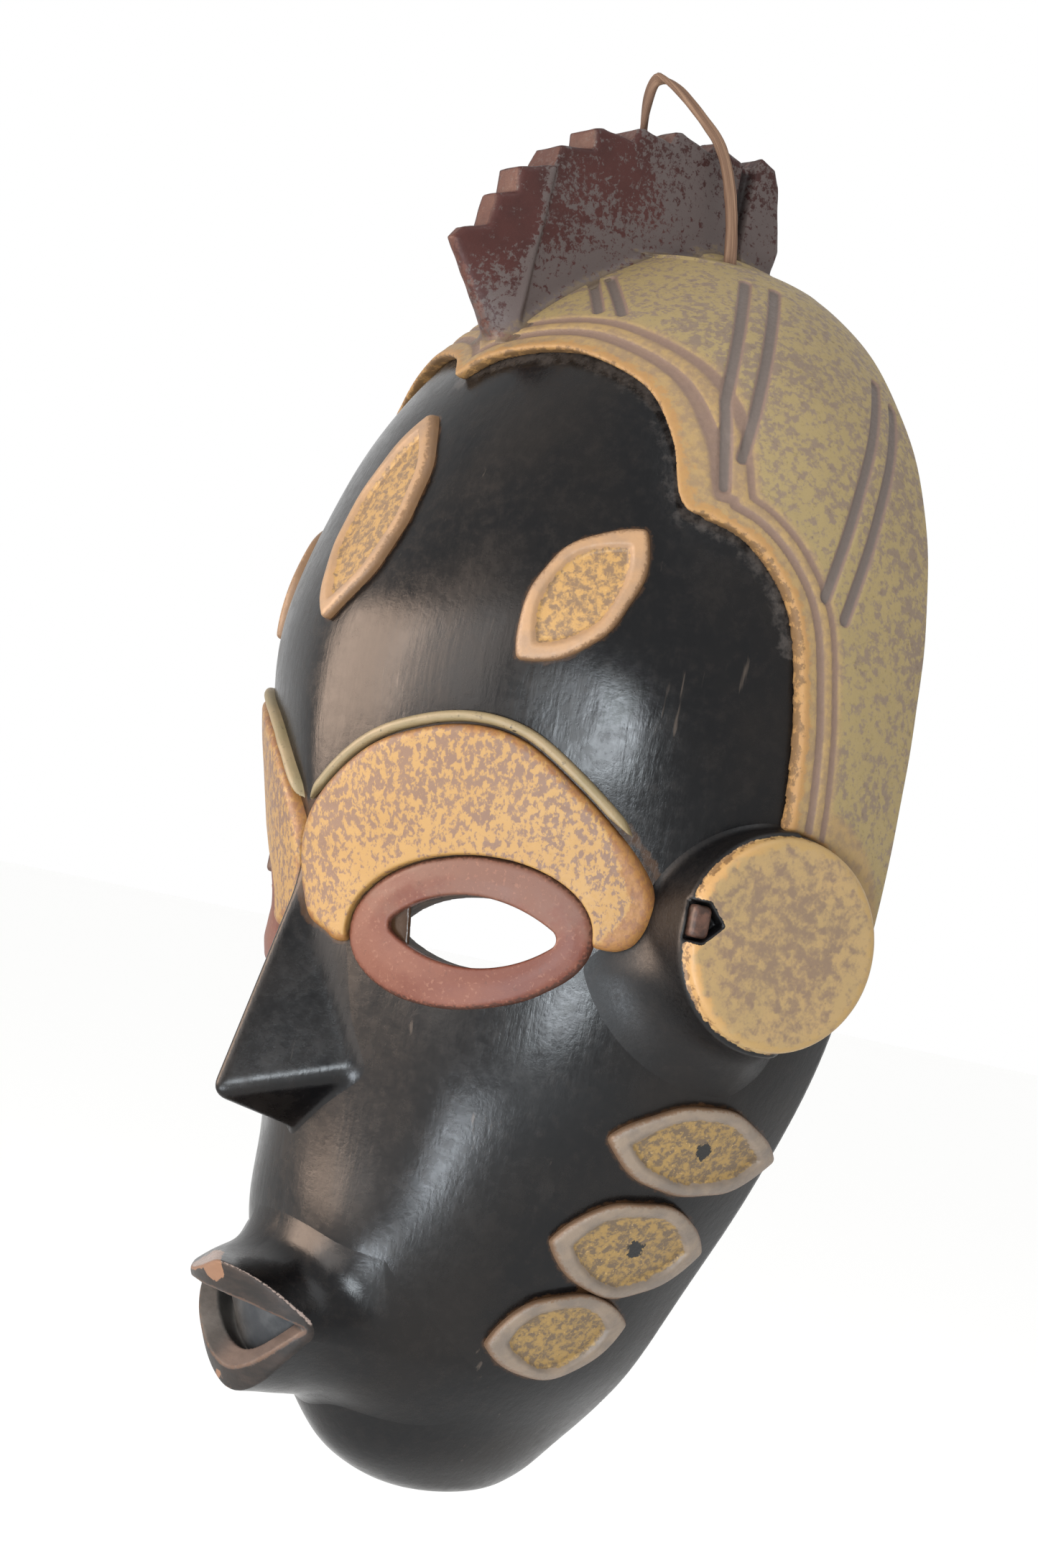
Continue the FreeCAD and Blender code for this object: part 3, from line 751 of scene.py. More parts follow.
def ear_field(side, notch):
    def field(p):
        u, v, out = on_plane(p, EAR_CENTRE, EAR_TURN, side)
        h = head(p)
        edge = np.hypot(u, v) - EAR_RADIUS
        d = smooth_max(edge, out + 0.12 * ripple(p, 16.0, 12), 2.6)
        below = step01(0.0, -16.0, v) * step01(22.0, 4.0, u)
        collar = smooth_max(edge - 1.2, out + 2.4, 2.0)
        collar = smooth_max(collar, u - 8.0, 5.0)
        collar = smooth_min(collar, h + 0.25, 3.0 + 13.0 * below)
        skirt = 2.5 + 15.5 * below
        skirt = np.where(u < 0.0, skirt, skirt * (1.0 - step01(2.0, 14.0, v)))
        collar = smooth_max(collar, edge - 0.6 - skirt, 1.0)
        d = np.minimum(d, collar)
        pocket = np.maximum(ear_notch(u, v, notch), -out - NOTCH_SUNK)
        d = smooth_max(d, -pocket, 1.0)
        d = smooth_max(d, p[:, 1] + 0.3, 1.0)
        d = smooth_max(d, -np.maximum(rim_relief(p), p[:, 0] * side - EAR_BOARD), 1.0)
        return np.maximum(d, -h - 1.5)
    return field


def stub_field(side, notch):
    def field(p):
        u, v, out = on_plane(p, EAR_CENTRE, EAR_TURN, side)
        edge = u + EAR_RADIUS
        middle = (notch[1] + notch[2]) / 2.0
        d = smooth_max(np.abs(edge - 0.2 - STUB[0] / 2.0) - STUB[0] / 2.0,
                       np.abs(v - middle) - STUB[1] / 2.0, 1.5)
        d = smooth_max(d + 0.15 * ripple(p, 6.0, 14), out + STUB_SUNK, 1.5)
        return np.maximum(d, -out - NOTCH_SUNK - 1.0)
    return field


# Hair: a painted skin with a raised rim along the hairline.
HAIR_BOTTOM = 160.0
FOREHEAD_ARCH = ((0, 283), (8, 289), (22, 292), (36, 291), (53, 284), (64, 272), (71, 258), (74, 254))
TEMPLE_ARCH = ((-66, 254), (-57, 251), (-49, 243), (-44, 233), (-40.5, 215), (-38, 196), (-37, 184),
               (-36, 165))
FRONT_LINE = Outline(np.vstack([open_spline(FOREHEAD_ARCH),
                                [(110, 254), (110, 100), (-30, 100), (-30, 283)]]), 60.0, 0.5)
SIDE_LINE = Outline(np.vstack([open_spline(TEMPLE_ARCH), [(-36, 60), (-200, 60), (-200, 254)]]), 60.0, 0.5)
# Grooves in the hair: start, end, half width.
GROOVES = (
    ((34, -35, 322.6), (66, -59, 284.7), 2.2), ((66, -59, 284.7), (73.8, -61, 262.0), 2.1),
    ((37.5, -28, 321.5), (70.5, -53, 282.0), 2.2), ((70.5, -53, 282.0), (74.0, -57, 270.3), 2.1),
    ((62, -9, 303), (91, -37, 242), 2.1), ((65.5, -5, 297.6), (93, -31, 238), 2.1),
    ((4, -61, 317.5), (25, -72, 305), 2.0), ((10.5, -60, 317), (31, -69, 304), 2.0),
)


def hairline(p):
    """Distance to the hairline, positive where there is hair."""
    big = np.abs(p[:, 0])
    front = np.maximum(FRONT_LINE(big, p[:, 2]), p[:, 1] + 65.5)
    side = SIDE_LINE(p[:, 1], p[:, 2])
    return smooth_min(front, side, 1.0)


def ear_clear(p):
    u, v, _ = on_plane(p, EAR_CENTRE, EAR_TURN, np.where(p[:, 0] < 0, -1.0, 1.0))
    return np.hypot(u, v) - EAR_RADIUS - EAR_GAP


def groove_depth(p):
    """How near a point is to the middle of a groove, 0 to 1."""
    deep = np.zeros(len(p))
    q = p.copy()
    q[:, 0] = np.abs(q[:, 0])
    for a, b, half in GROOVES:
        a, b = np.array(a, float), np.array(b, float)
        run = b - a
        length = np.linalg.norm(run)
        wall = np.cross(run, (a + b) / 2 - HOLLOW_MIDDLE)
        wall = wall / np.linalg.norm(wall)
        t = (q - a) @ run / length
        past = np.maximum(np.maximum(-t, t - length), 0.0)
        off = np.hypot((q - a) @ wall, past)
        deep = np.maximum(deep, 1.0 - step01(0.35 * half, half, off))
    return deep


def hair_field(p):
    line = hairline(p)
    h = head(p)
    top = HAIR + 0.25 * ripple(p, 26.0, 21) - 1.0 * groove_depth(p)
    top = top - 0.55 * rim_lines(line) - 0.5 * step01(0.0, 4.0, line) + 0.5
    d = smooth_max(h - top, -line, 1.8)
    d = smooth_max(d, -ear_clear(p), 1.5)
    d = np.maximum(d, HAIR_BOTTOM - p[:, 2])
    for side in (1, -1):
        d = np.maximum(d, BORE - np.hypot(p[:, 0] - side * HOLE[0], p[:, 1] - HOLE[1]))
    d = smooth_max(d, p[:, 1], 1.0)
    d = smooth_max(d, -np.maximum(rim_relief(p), p[:, 0]), 1.0)
    return np.maximum(d, -h)


def rim_lines(line):
    """Two parallel grooves that run along the hairline."""
    first = 1.0 - step01(0.5, 1.5, np.abs(line - 5.6))
    second = 1.0 - step01(0.4, 1.4, np.abs(line - 9.8))
    return np.maximum(first, 0.8 * second)


def hollow(p):
    """Distance to the chiselled inside of the mask, inside the hollow negative."""
    d = bare_head(HOLLOW_MIDDLE + (p - HOLLOW_MIDDLE) / (1.0 - WALL / HOLLOW_REACH))
    angle = np.arctan2(p[:, 0], -(p[:, 1] - 10.0)) * 5.2
    row = p[:, 2] / 13.0
    stagger = np.where(np.floor(row) % 2 == 0, 0.5, 0.0)
    column = angle + stagger + 0.5 * ripple(p, 60.0, 30)
    cut = np.abs((row % 1.0) - 0.5) ** 2 + 1.4 * np.abs((column % 1.0) - 0.5) ** 2
    return d + 2.2 * cut + 0.3 * ripple(p, 22.0, 31) - 0.3


# Side, height, half height and depth of each curved cut in the back rim.
RIM_RELIEF = ((1.0, 154.0, 10.0, 10.0), (-1.0, 147.0, 25.0, 30.0))


def rim_relief(p):
    """Distance to the curved cut in the back rim behind each ear."""
    d = np.full(len(p), 50.0)
    for side, height, half, depth in RIM_RELIEF:
        cut = ellipse(p[:, 1], p[:, 2] - height, (depth, half))
        d = np.minimum(d, np.maximum(cut, 40.0 - p[:, 0] * side))
    return d


def shell_field(p):
    h = head(p)
    inner = hollow(p)
    d = smooth_max(h, -inner, 1.5)
    d = smooth_max(d, p[:, 1] + 0.25 * ripple(p, 30.0, 33) - 0.1, 1.2)
    for side in (1.0, -1.0):
        _, hole, _ = eye_lines(p, side)
        d = smooth_max(d, -hole, 1.0)
        bore = BORE - np.hypot(p[:, 0] - side * HOLE[0], p[:, 1] - HOLE[1])
        d = np.maximum(d, np.minimum(bore, p[:, 2] - 290.0))
    d = smooth_max(d, -rim_relief(p), 1.5)
    return np.maximum(d, -np.maximum(mouth_hollow(p), p[:, 1] + 60.0))


# Crest: a toothed comb.
CREST_HALF = 7.5
CREST_PANEL = 1.6
CREST_EDGE = 1.6             # half thickness along the front edge
CREST_CREASE = -83.0
CREST_GROOVE = (-21.0, -17.5)
CREST_PROFILE = (
    (-88.5, 297.0), (-104.5, 316.5), (-102.0, 319.8), (-95.8, 322.0), (-95.0, 330.6), (-90.4, 332.4),
    (-90.8, 338.8), (-81.6, 342.0), (-80.2, 347.8), (-70.4, 350.2), (-70.8, 355.4), (-68.4, 356.4),
    (-58.8, 356.2), (-57.2, 360.0), (-55.4, 360.6), (-46.2, 359.6), (-45.2, 363.2), (-43.2, 363.8),
    (-33.2, 361.6), (-31.4, 365.0), (-21.0, 362.5), (-17.5, 362.5), (-15.8, 365.6), (-10.8, 364.2),
    (-8.4, 360.0), (-4.2, 343.0), (-5.6, 336.0), (-12.0, 300.0), (-60.0, 285.0),
)
CREST_SHAPE = Outline(CREST_PROFILE, 25.0, 0.3)


def crest_crease(z):
    """The crease leans back a little towards the top."""
    return CREST_CREASE + 0.035 * (z - 320.0)


def crest_half(p):
    """Half thickness of the crest: a front wedge, sunk sides and a rear rib."""
    y, z = p[:, 1], p[:, 2]
    crease = crest_crease(z)
    front = np.interp(z, [297.0, 316.5], [-88.5, -104.5])
    wedge = CREST_EDGE + (CREST_HALF - CREST_EDGE) * np.clip((y - front) / (crease - front), 0.0, 1.0)
    half = np.where(y < crease, wedge, CREST_HALF)
    groove_front, groove_back = CREST_GROOVE
    ahead = 1 - step01(groove_back - 0.6, groove_back + 0.6, y)
    half = half - (CREST_PANEL - 0.5) * step01(crease + 0.3, crease + 2.2, y) * ahead
    half = half - 2.4 * step01(groove_front - 0.8, groove_front + 0.6, y) * ahead
    return half + 0.25 * ripple(p, 18.0, 41)


def crest_field(p):
    outline = CREST_SHAPE(p[:, 1], p[:, 2]) + 0.25 * ripple(p, 7.0, 42)
    d = smooth_max(outline, np.abs(p[:, 0]) - crest_half(p), 1.6)
    h = head(p) - HAIR
    d = smooth_min(d, h + 0.3, 3.0)
    far = np.maximum(np.maximum(CREST_SHAPE(p[:, 1], p[:, 2]) - 2.5, p[:, 1] + 2.0), np.abs(p[:, 0]) - 10.5)
    d = smooth_max(d, np.where(h > 3.0, -5.0, far), 1.0)
    return np.maximum(d, -h - 1.5)


# --------------------------------------------------------- camera and lights

VIEW_TURN = 54.0             # degrees from the front towards the mask's left
VIEW_RISE = -2.3
VIEW_ROLL = 11.7
VIEW_AWAY = 0.700
VIEW_HEIGHT = 0.41458        # metres seen from top to bottom at that distance
VIEW_LEFT = 0.005985         # sideways and upward shift of the camera
VIEW_UP = 0.00456


def place_camera():
    turn, rise, roll = math.radians(VIEW_TURN), math.radians(VIEW_RISE), math.radians(VIEW_ROLL)
    back = Vector((math.sin(turn) * math.cos(rise), -math.cos(turn) * math.cos(rise), math.sin(rise)))
    right0 = Vector((math.cos(turn), math.sin(turn), 0.0))
    up0 = back.cross(right0)
    right = right0 * math.cos(roll) + up0 * math.sin(roll)
    up = up0 * math.cos(roll) - right0 * math.sin(roll)
    aim = Vector((0.0, (-40.0 - HOOK_Y) / 1000.0, (183.0 - HOOK_HEIGHT) / 1000.0))
    eye = aim + back * VIEW_AWAY - right * VIEW_LEFT + up * VIEW_UP
    data = bpy.data.cameras.new("camera")
    data.sensor_fit = "VERTICAL"
    data.sensor_height = 36.0
    data.lens = data.sensor_height * VIEW_AWAY / VIEW_HEIGHT
    data.clip_start = 0.01
    camera = bpy.data.objects.new("camera", data)
    bpy.context.scene.collection.objects.link(camera)
    camera.matrix_world = Matrix((
        (right.x, up.x, back.x, eye.x),
        (right.y, up.y, back.y, eye.y),
        (right.z, up.z, back.z, eye.z),
        (0.0, 0.0, 0.0, 1.0),
    ))
    bpy.context.scene.camera = camera


def area_light(name, azimuth, elevation, away, size, watts, colour=(1.0, 1.0, 1.0), aim=(0.0, 0.0, -0.19),
               glint=False):
    """A soft square light that looks at the mask; a glint is only seen mirrored."""
    a, e = math.radians(azimuth), math.radians(elevation)
    towards = Vector((math.sin(a) * math.cos(e), -math.cos(a) * math.cos(e), math.sin(e)))
    data = bpy.data.lights.new(name, "AREA")
    data.shape = "SQUARE"
    data.size = size
    data.energy = watts
    data.color = colour
    light = bpy.data.objects.new(name, data)
    light.location = Vector(aim) + towards * away
    light.rotation_euler = towards.to_track_quat("Z", "Y").to_euler()
    light.visible_diffuse = not glint
    bpy.context.scene.collection.objects.link(light)


def studio():
    """Pale flat floor under the mask, a white world and soft lights."""
    world = bpy.data.worlds.new("studio")
    world.use_nodes = True
    world.node_tree.nodes["Background"].inputs["Color"].default_value = (1.0, 1.0, 1.0, 1.0)
    world.node_tree.nodes["Background"].inputs["Strength"].default_value = 1.0
    bpy.context.scene.world = world
    bpy.context.scene.view_settings.view_transform = "Standard"
    paint = Paint("floor_paper", 0.9, 0.1)
    grain = paint.noise(4.0, 4.0)
    tone = paint.mix(grain, (1.305, 1.305, 1.30), (1.31, 1.31, 1.305))
    paper = paint.finish(tone, None, [(grain, 0.05)])
    bm = bmesh.new()
    bmesh.ops.create_circle(bm, cap_ends=True, segments=96, radius=14.0)
    mesh = bpy.data.meshes.new("floor")
    bm.to_mesh(mesh)
    bm.free()
    floor = bpy.data.objects.new("floor", mesh)
    floor.location = (0.0, 0.0, -0.62)
    floor.data.materials.append(paper)
    bpy.context.scene.collection.objects.link(floor)
    area_light("temple", 46.0, -11.0, 0.95, 0.20, 6.0, (0.86, 0.94, 1.0))
    area_light("key", 2.0, 4.0, 1.4, 0.90, 14.0, (1.0, 0.92, 0.87))
    area_light("cheek", 26.0, -32.0, 0.45, 0.11, 1.4, (0.84, 0.92, 1.0), (0.03, -0.04, -0.312), glint=True)
    area_light("warm", -27.0, 3.0, 1.2, 0.80, 30.0, (1.0, 0.74, 0.57), glint=True)
    area_light("top", 80.0, 60.0, 1.3, 0.8, 4.0, (0.96, 0.98, 1.0))


# ---------------------------------------------------------------- the cord

CORD_ROUTE = (
    (18.0, -26.5, 299.0), (18.0, -26.5, 328.5), (10.6, -30.0, 361.0), (4.0, -38.6, 371.5),
    (-1.5, -45.0, 378.2), (-7.2, -47.6, 379.2), (-12.5, -43.0, 363.0), (-18.0, -26.5, 328.5),
    (-18.0, -26.5, 299.0),
)
CORD_FACING = math.radians(54.0)


def route_points(points, name="cord_route"):
    """The route's own NURBS spline, read back as evenly followed points."""
    curve = bpy.data.curves.new(name, "CURVE")
    curve.dimensions = "3D"
    curve.resolution_u = 24
    spline = curve.splines.new("NURBS")
    spline.points.add(len(points) - 1)
    for point, place in zip(spline.points, to_frame(points)):
        point.co = (place[0], place[1], place[2], 1.0)
    spline.order_u = 3
    spline.use_endpoint_u = True
    holder = bpy.data.objects.new(name, curve)
    bpy.context.scene.collection.objects.link(holder)
    bpy.context.view_layer.update()
    mesh = bpy.data.meshes.new_from_object(holder)
    line = np.array([v.co for v in mesh.vertices])
    bpy.data.objects.remove(holder)
    bpy.data.curves.remove(curve)
    bpy.data.meshes.remove(mesh)
    return line


def cord_twist(s):
    """Degrees by which the strip turns away from facing the viewer's side."""
    places = [0.0, 0.2, 0.38, 0.5, 0.56, 0.62, 0.72, 0.9, 1.0]
    return float(np.interp(s, places, [8.0, 6.0, 20.0, 35.0, 60.0, 110.0, 150.0, 200.0, 240.0]))


def cord_section(s):
    """Half the width and half the thickness of the strip in mm."""
    half_width = np.interp(s, [0.0, 0.17, 0.3, 0.45, 0.55, 0.62, 0.75, 1.0],
                           [1.7, 1.7, 1.65, 1.6, 1.8, 1.55, 1.5, 1.7])
    half_thick = np.interp(s, [0.0, 0.3, 0.5, 0.6, 0.75, 1.0], [0.9, 0.8, 0.85, 1.0, 1.3, 1.0])
    return float(half_width), float(half_thick)


def cord_strip(material):
    """A flat strip of plant fibre that twists a little on its way."""
    line = route_points(CORD_ROUTE)
    step = np.linalg.norm(np.diff(line, axis=0), axis=1)
    along = np.concatenate([[0.0], np.cumsum(step)])
    total = along[-1]
    count = 260
    where = np.linspace(0.0, total, count)
    centre = np.stack([np.interp(where, along, line[:, i]) for i in range(3)], 1)
    tangent = np.gradient(centre, axis=0)
    tangent /= np.linalg.norm(tangent, axis=1)[:, None]
    side = np.array([math.cos(CORD_FACING), math.sin(CORD_FACING), 0.0])
    across = side - (tangent @ side)[:, None] * tangent
    across /= np.linalg.norm(across, axis=1)[:, None]
    flat = np.cross(tangent, across)
    around = 28
    t = np.linspace(0.0, 2.0 * math.pi, around, endpoint=False)
    points = []
    threads = []
    for i in range(count):
        s = where[i] / total
        twist = math.radians(cord_twist(s))
        half_width, half_thick = cord_section(s)
        edge = 1.0 + 0.03 * math.sin(70.0 * s) + 0.02 * math.sin(173.0 * s + 1.0)
        u = half_width * edge * np.sign(np.cos(t)) * np.abs(np.cos(t)) ** 0.8
        fray = 0.10 * np.sin(9.0 * t + 14.0 * s) + 0.06 * np.sin(17.0 * t - 9.0 * s)
        v = half_thick * np.sign(np.sin(t)) * np.abs(np.sin(t)) ** 0.75 * (1.0 + fray)
        x = u * math.cos(twist) - v * math.sin(twist)
        y = u * math.sin(twist) + v * math.cos(twist)
        points.append(centre[i] + (x[:, None] * across[i] + y[:, None] * flat[i]) / 1000.0)
        threads.append(u)
    points = np.concatenate(points)
    ring = np.arange(around)
    quads = []
    for i in range(count - 1):
        a = i * around + ring
        b = i * around + (ring + 1) % around
        quads.append(np.stack([a, b, b + around, a + around], 1))
    quads = np.concatenate(quads)
    points = np.vstack([points, centre[:1], centre[-1:]])
    piece = make_object("fibre_cord", points * 1000.0 + np.array([0.0, HOOK_Y, HOOK_HEIGHT]), quads, {
        "thread": np.concatenate([np.concatenate(threads), [0.0, 0.0]]),
        "run": np.concatenate([np.repeat(where, around), [0.0, total]]) * 1000.0,
    })
    bm = bmesh.new()
    bm.from_mesh(piece.data)
    bm.verts.ensure_lookup_table()
    ends = ((0, len(points) - 2, False), ((count - 1) * around, len(points) - 1, True))
    for first, middle, flip in ends:
        for j in range(around):
            corners = [bm.verts[first + (j + 1) % around], bm.verts[first + j], bm.verts[middle]]
            bm.faces.new(corners[::-1] if flip else corners).smooth = True
    bmesh.ops.recalc_face_normals(bm, faces=bm.faces)
    bm.to_mesh(piece.data)
    bm.free()
    piece.data.materials.append(material)
    return piece, line


# ------------------------------------------------------------------- paints

def black_stain(m):
    """The satin black all over the face; also returns its fine and broad clouds and its streaks."""
    cloud = m.noise(42.0, 4.0, 0.6, seed=1.0)
    fine = m.noise(3.0, 6.0, 0.7, seed=2.0)
    colour = m.blend(cloud, 0.42, 0.66, (0.050, 0.050, 0.058), (0.105, 0.088, 0.078))
    colour = m.over(colour, fine, 0.45, 0.75, 0.4, (0.165, 0.14, 0.125))
    streak = m.noise(6.0, 5.0, 0.7, vector=m.stretched(0.55, 0.55, 0.10, (0.25, 0.1, 0.0)), seed=3.0)
    colour = m.over(colour, streak, 0.60, 0.75, 0.35, (0.22, 0.20, 0.19))
    return colour, fine, cloud, streak


def black_wood():
    """Satin black stain, rubbed brown in places, with fine scratches."""
    m = Paint("black_wood", 0.30, 0.22)
    colour, fine, cloud, streak = black_stain(m)
    scratch = m.noise(1.6, 3.0, 0.5, vector=m.stretched(1.0, 1.0, 0.05, (0.5, 0.4, 0.2)), seed=4.0)
    nick = m.band(m.times(scratch, m.noise(18.0, 2.0, seed=5.0)), 0.40, 0.47)
    colour = m.mix(m.times(nick, 0.5), colour, (0.42, 0.37, 0.33))
    fringe = m.add(m.mark("fringe"), m.band(fine, 0.2, 0.8, -0.8, 0.8))
    colour = m.over(colour, fringe, 0.9, 0.0, 0.6, (0.36, 0.25, 0.16))
    dust = m.ragged(m.mark("dust"), 0.3, 3.5, 4.0, 0.7, 6.0)
    colour = m.over(colour, dust, 0.30, 1.1, 0.6, (0.42, 0.39, 0.37))
    grain = m.noise(2.4, 5.0, 0.65, vector=m.stretched(1.0, 1.0, 0.12), seed=7.0)
    raw = m.blend(grain, 0.35, 0.65, (0.20, 0.145, 0.105), (0.36, 0.27, 0.19))
    raw = m.blend(cloud, 0.40, 0.60, raw, (0.15, 0.11, 0.085))
    inside = m.band(m.mark("inside"), 0.35, 0.65)
    colour = m.mix(inside, colour, raw)
    rough = m.add(m.band(fine, 0.3, 0.7, 0.20, 0.30), m.times(inside, 0.35))
    rough = m.add(rough, m.band(cloud, 0.4, 0.65, -0.03, 0.06))
    return m.finish(colour, rough, [(streak, 0.12), (fine, 0.07), (grain, 0.05), (scratch, 0.04)])


def mottled(m, base, blot, size, share, seed, streak=1.0, soft=0.02):
    """Blots of one colour with crisp edges dabbed over another."""
    big = m.noise(size, 2.5, 0.55, 0.35, vector=m.stretched(1.0, 1.0, 1.0 / streak), seed=seed)
    small = m.noise(size * 0.28, 3.0, 0.6, 0.2, vector=m.stretched(1.0, 1.0, 1.0 / streak), seed=seed + 1.0)
    level = m.add(m.times(big, 0.68), m.times(small, 0.32))
    level = m.add(level, share)
    return m.mix(m.band(level, 0.5 - soft, 0.5 + soft), base, blot), level


def hair_paint():
    m = Paint("hair_ochre", 0.62, 0.30)
    line = m.mark("line")
    tone = m.noise(30.0, 3.0, seed=11.0)
    base = m.mix(tone, (0.55, 0.47, 0.40), (0.60, 0.52, 0.44))
    blot = m.mix(m.noise(9.0, 3.0, seed=12.0), (0.65, 0.57, 0.395), (0.71, 0.62, 0.425))
    colour, level = mottled(m, base, blot, 2.1, m.band(tone, 0.35, 0.65, -0.01, 0.05), 13.0, 1.0, 0.06)
    speck = m.noise(1.1, 4.0, 0.7, seed=14.0)
    colour = m.over(colour, speck, 0.58, 0.70, 0.55, (0.43, 0.36, 0.28))
    band = m.blend(m.noise(3.0, 4.0, 0.65, seed=15.0), 0.40, 0.60, (0.735, 0.605, 0.405),
                   (0.645, 0.53, 0.40))
    smooth_zone = m.band(line, 13.0, 9.5)
    colour = m.mix(m.times(smooth_zone, 0.85), colour, band)
    lines = m.band(m.mark("lines"), 0.1, 0.7, 0.0, 0.9)
    colour = m.mix(lines, colour, m.mix(speck, (0.60, 0.48, 0.42), (0.49, 0.41, 0.37)))
    groove = m.mark("groove")
    colour = m.blend(groove, 0.02, 0.40, colour, m.mix(speck, (0.64, 0.52, 0.45), (0.54, 0.46, 0.42)))
    colour = m.over(colour, groove, 0.45, 0.95, 0.75, (0.43, 0.40, 0.38))
    edge = m.ragged(line, 0.9, 2.2, 4.0, 0.7, 16.0)
    colour = m.over(colour, edge, 2.9, 1.6, 0.75, (0.76, 0.565, 0.33))
    # Painted shadow: a dark line right along the hair's edge, where the hair stands off the black face, and
    # round the gap by each ear.
    colour = m.over(colour, edge, 0.7, 0.0, 0.6, (0.30, 0.22, 0.155))
    return m.finish(colour, m.band(speck, 0.3, 0.7, 0.52, 0.72), [(level, 0.08), (speck, 0.08)])


def brow_paint():
    m = Paint("brow_ochre", 0.5, 0.35)
    inset = m.mark("inset")
    warm = m.mix(m.noise(12.0, 3.0, seed=21.0), (0.74, 0.555, 0.30), (0.79, 0.62, 0.36))
    dull = m.mix(m.noise(8.0, 3.0, seed=22.0), (0.53, 0.395, 0.315), (0.59, 0.455, 0.355))
    share = m.add(m.band(inset, 0.0, 9.0, 0.02, 0.0), m.band(m.mark("height"), -10.0, 22.0, 0.06, -0.015))
    colour, level = mottled(m, dull, warm, 1.6, share, 23.0, 1.4, 0.04)
    speck = m.noise(0.9, 4.0, 0.7, seed=24.0)
    dirt = m.ragged(inset, 1.6, 3.0, 4.0, 0.7, 25.0)
    dirt = m.add(dirt, m.times(m.mark("end"), -4.5))
    colour = m.over(colour, dirt, 2.2, 0.4, 0.7, m.mix(speck, (0.76, 0.48, 0.20), (0.42, 0.29, 0.19)))
    colour = m.over(colour, speck, 0.62, 0.72, 0.35, (0.48, 0.34, 0.23))
    return m.finish(colour, m.band(speck, 0.3, 0.7, 0.42, 0.6), [(level, 0.08), (speck, 0.05)])


def edge_paint():
    m = Paint("brow_edge", 0.5, 0.4)
    speck = m.noise(1.3, 4.0, 0.7, seed=31.0)
    wash = m.noise(9.0, 3.0, seed=32.0)
    colour = m.blend(wash, 0.35, 0.65, (0.62, 0.55, 0.40), (0.68, 0.59, 0.44))
    colour = m.over(colour, speck, 0.58, 0.70, 0.7, (0.35, 0.30, 0.22))
    chip = m.band(m.noise(4.5, 3.0, 0.6, seed=33.0), 0.66, 0.70)
    colour = m.mix(chip, colour, (0.16, 0.14, 0.12))
    return m.finish(colour, None, [(speck, 0.10)])


def ring_paint():
    m = Paint("ring_terracotta", 0.48, 0.28)
    wash = m.noise(14.0, 4.0, 0.6, seed=41.0)
    red = m.blend(wash, 0.35, 0.65, (0.475, 0.25, 0.185), (0.54, 0.32, 0.245))
    grey = m.mix(wash, (0.49, 0.335, 0.275), (0.57, 0.40, 0.33))
    up = m.ragged(m.mark("height"), 7.0, 8.0, 4.0, 0.65, 42.0)
    colour = m.mix(m.band(up, -2.0, 13.0, 0.0, 0.85), red, grey)
    speck = m.noise(0.9, 3.0, 0.6, seed=43.0)
    colour = m.over(colour, speck, 0.56, 0.68, 0.5, (0.66, 0.46, 0.37))
    colour = m.over(colour, m.noise(1.8, 5.0, 0.7, seed=44.0), 0.58, 0.68, 0.35, (0.36, 0.22, 0.18))
    # A dark line along the ring's outer edge, and painted shadow along the edge of the eye hole.
    edge = m.add(m.mark("edge"), m.band(speck, 0.3, 0.7, -0.5, 0.5))
    colour = m.over(colour, edge, 1.1, 0.3, 0.8, (0.27, 0.18, 0.14))
    return m.finish(colour, m.band(wash, 0.3, 0.7, 0.40, 0.56), [(wash, 0.15), (speck, 0.05)])


def mark_paint(name, rim_a, rim_b, low_a, low_b, seed):
    m = Paint(name, 0.5, 0.4)
    floor = m.mark("floor")
    wash = m.noise(6.0, 4.0, 0.6, seed=seed)
    rim = m.blend(wash, 0.35, 0.65, rim_a, rim_b)
    low, level = mottled(m, low_a, low_b, 2.0, 0.0, seed + 1.0, 1.0, 0.08)
    speck = m.noise(0.9, 4.0, 0.7, seed=seed + 3.0)
    low = m.mix(m.band(speck, 0.58, 0.68, 0.0, 0.6), low, (0.88, 0.72, 0.45))
    reach = m.ragged(floor, 0.35, 2.4, 4.0, 0.7, seed + 4.0)
    colour = m.blend(reach, 0.35, 0.65, rim, low)
    edge = m.add(m.mark("edge"), m.band(speck, 0.3, 0.7, -0.5, 0.5))
    colour = m.over(colour, edge, 1.1, 0.3, 0.7, (0.47, 0.33, 0.20))
    chip = m.ragged(m.mark("chip"), 0.9, 1.6, 3.0, 0.7, seed + 5.0)
    colour = m.blend(chip, 2.4, 2.0, colour, (0.09, 0.085, 0.08))
    return m.finish(colour, m.band(speck, 0.3, 0.7, 0.42, 0.6), [(level, 0.12), (speck, 0.06)])


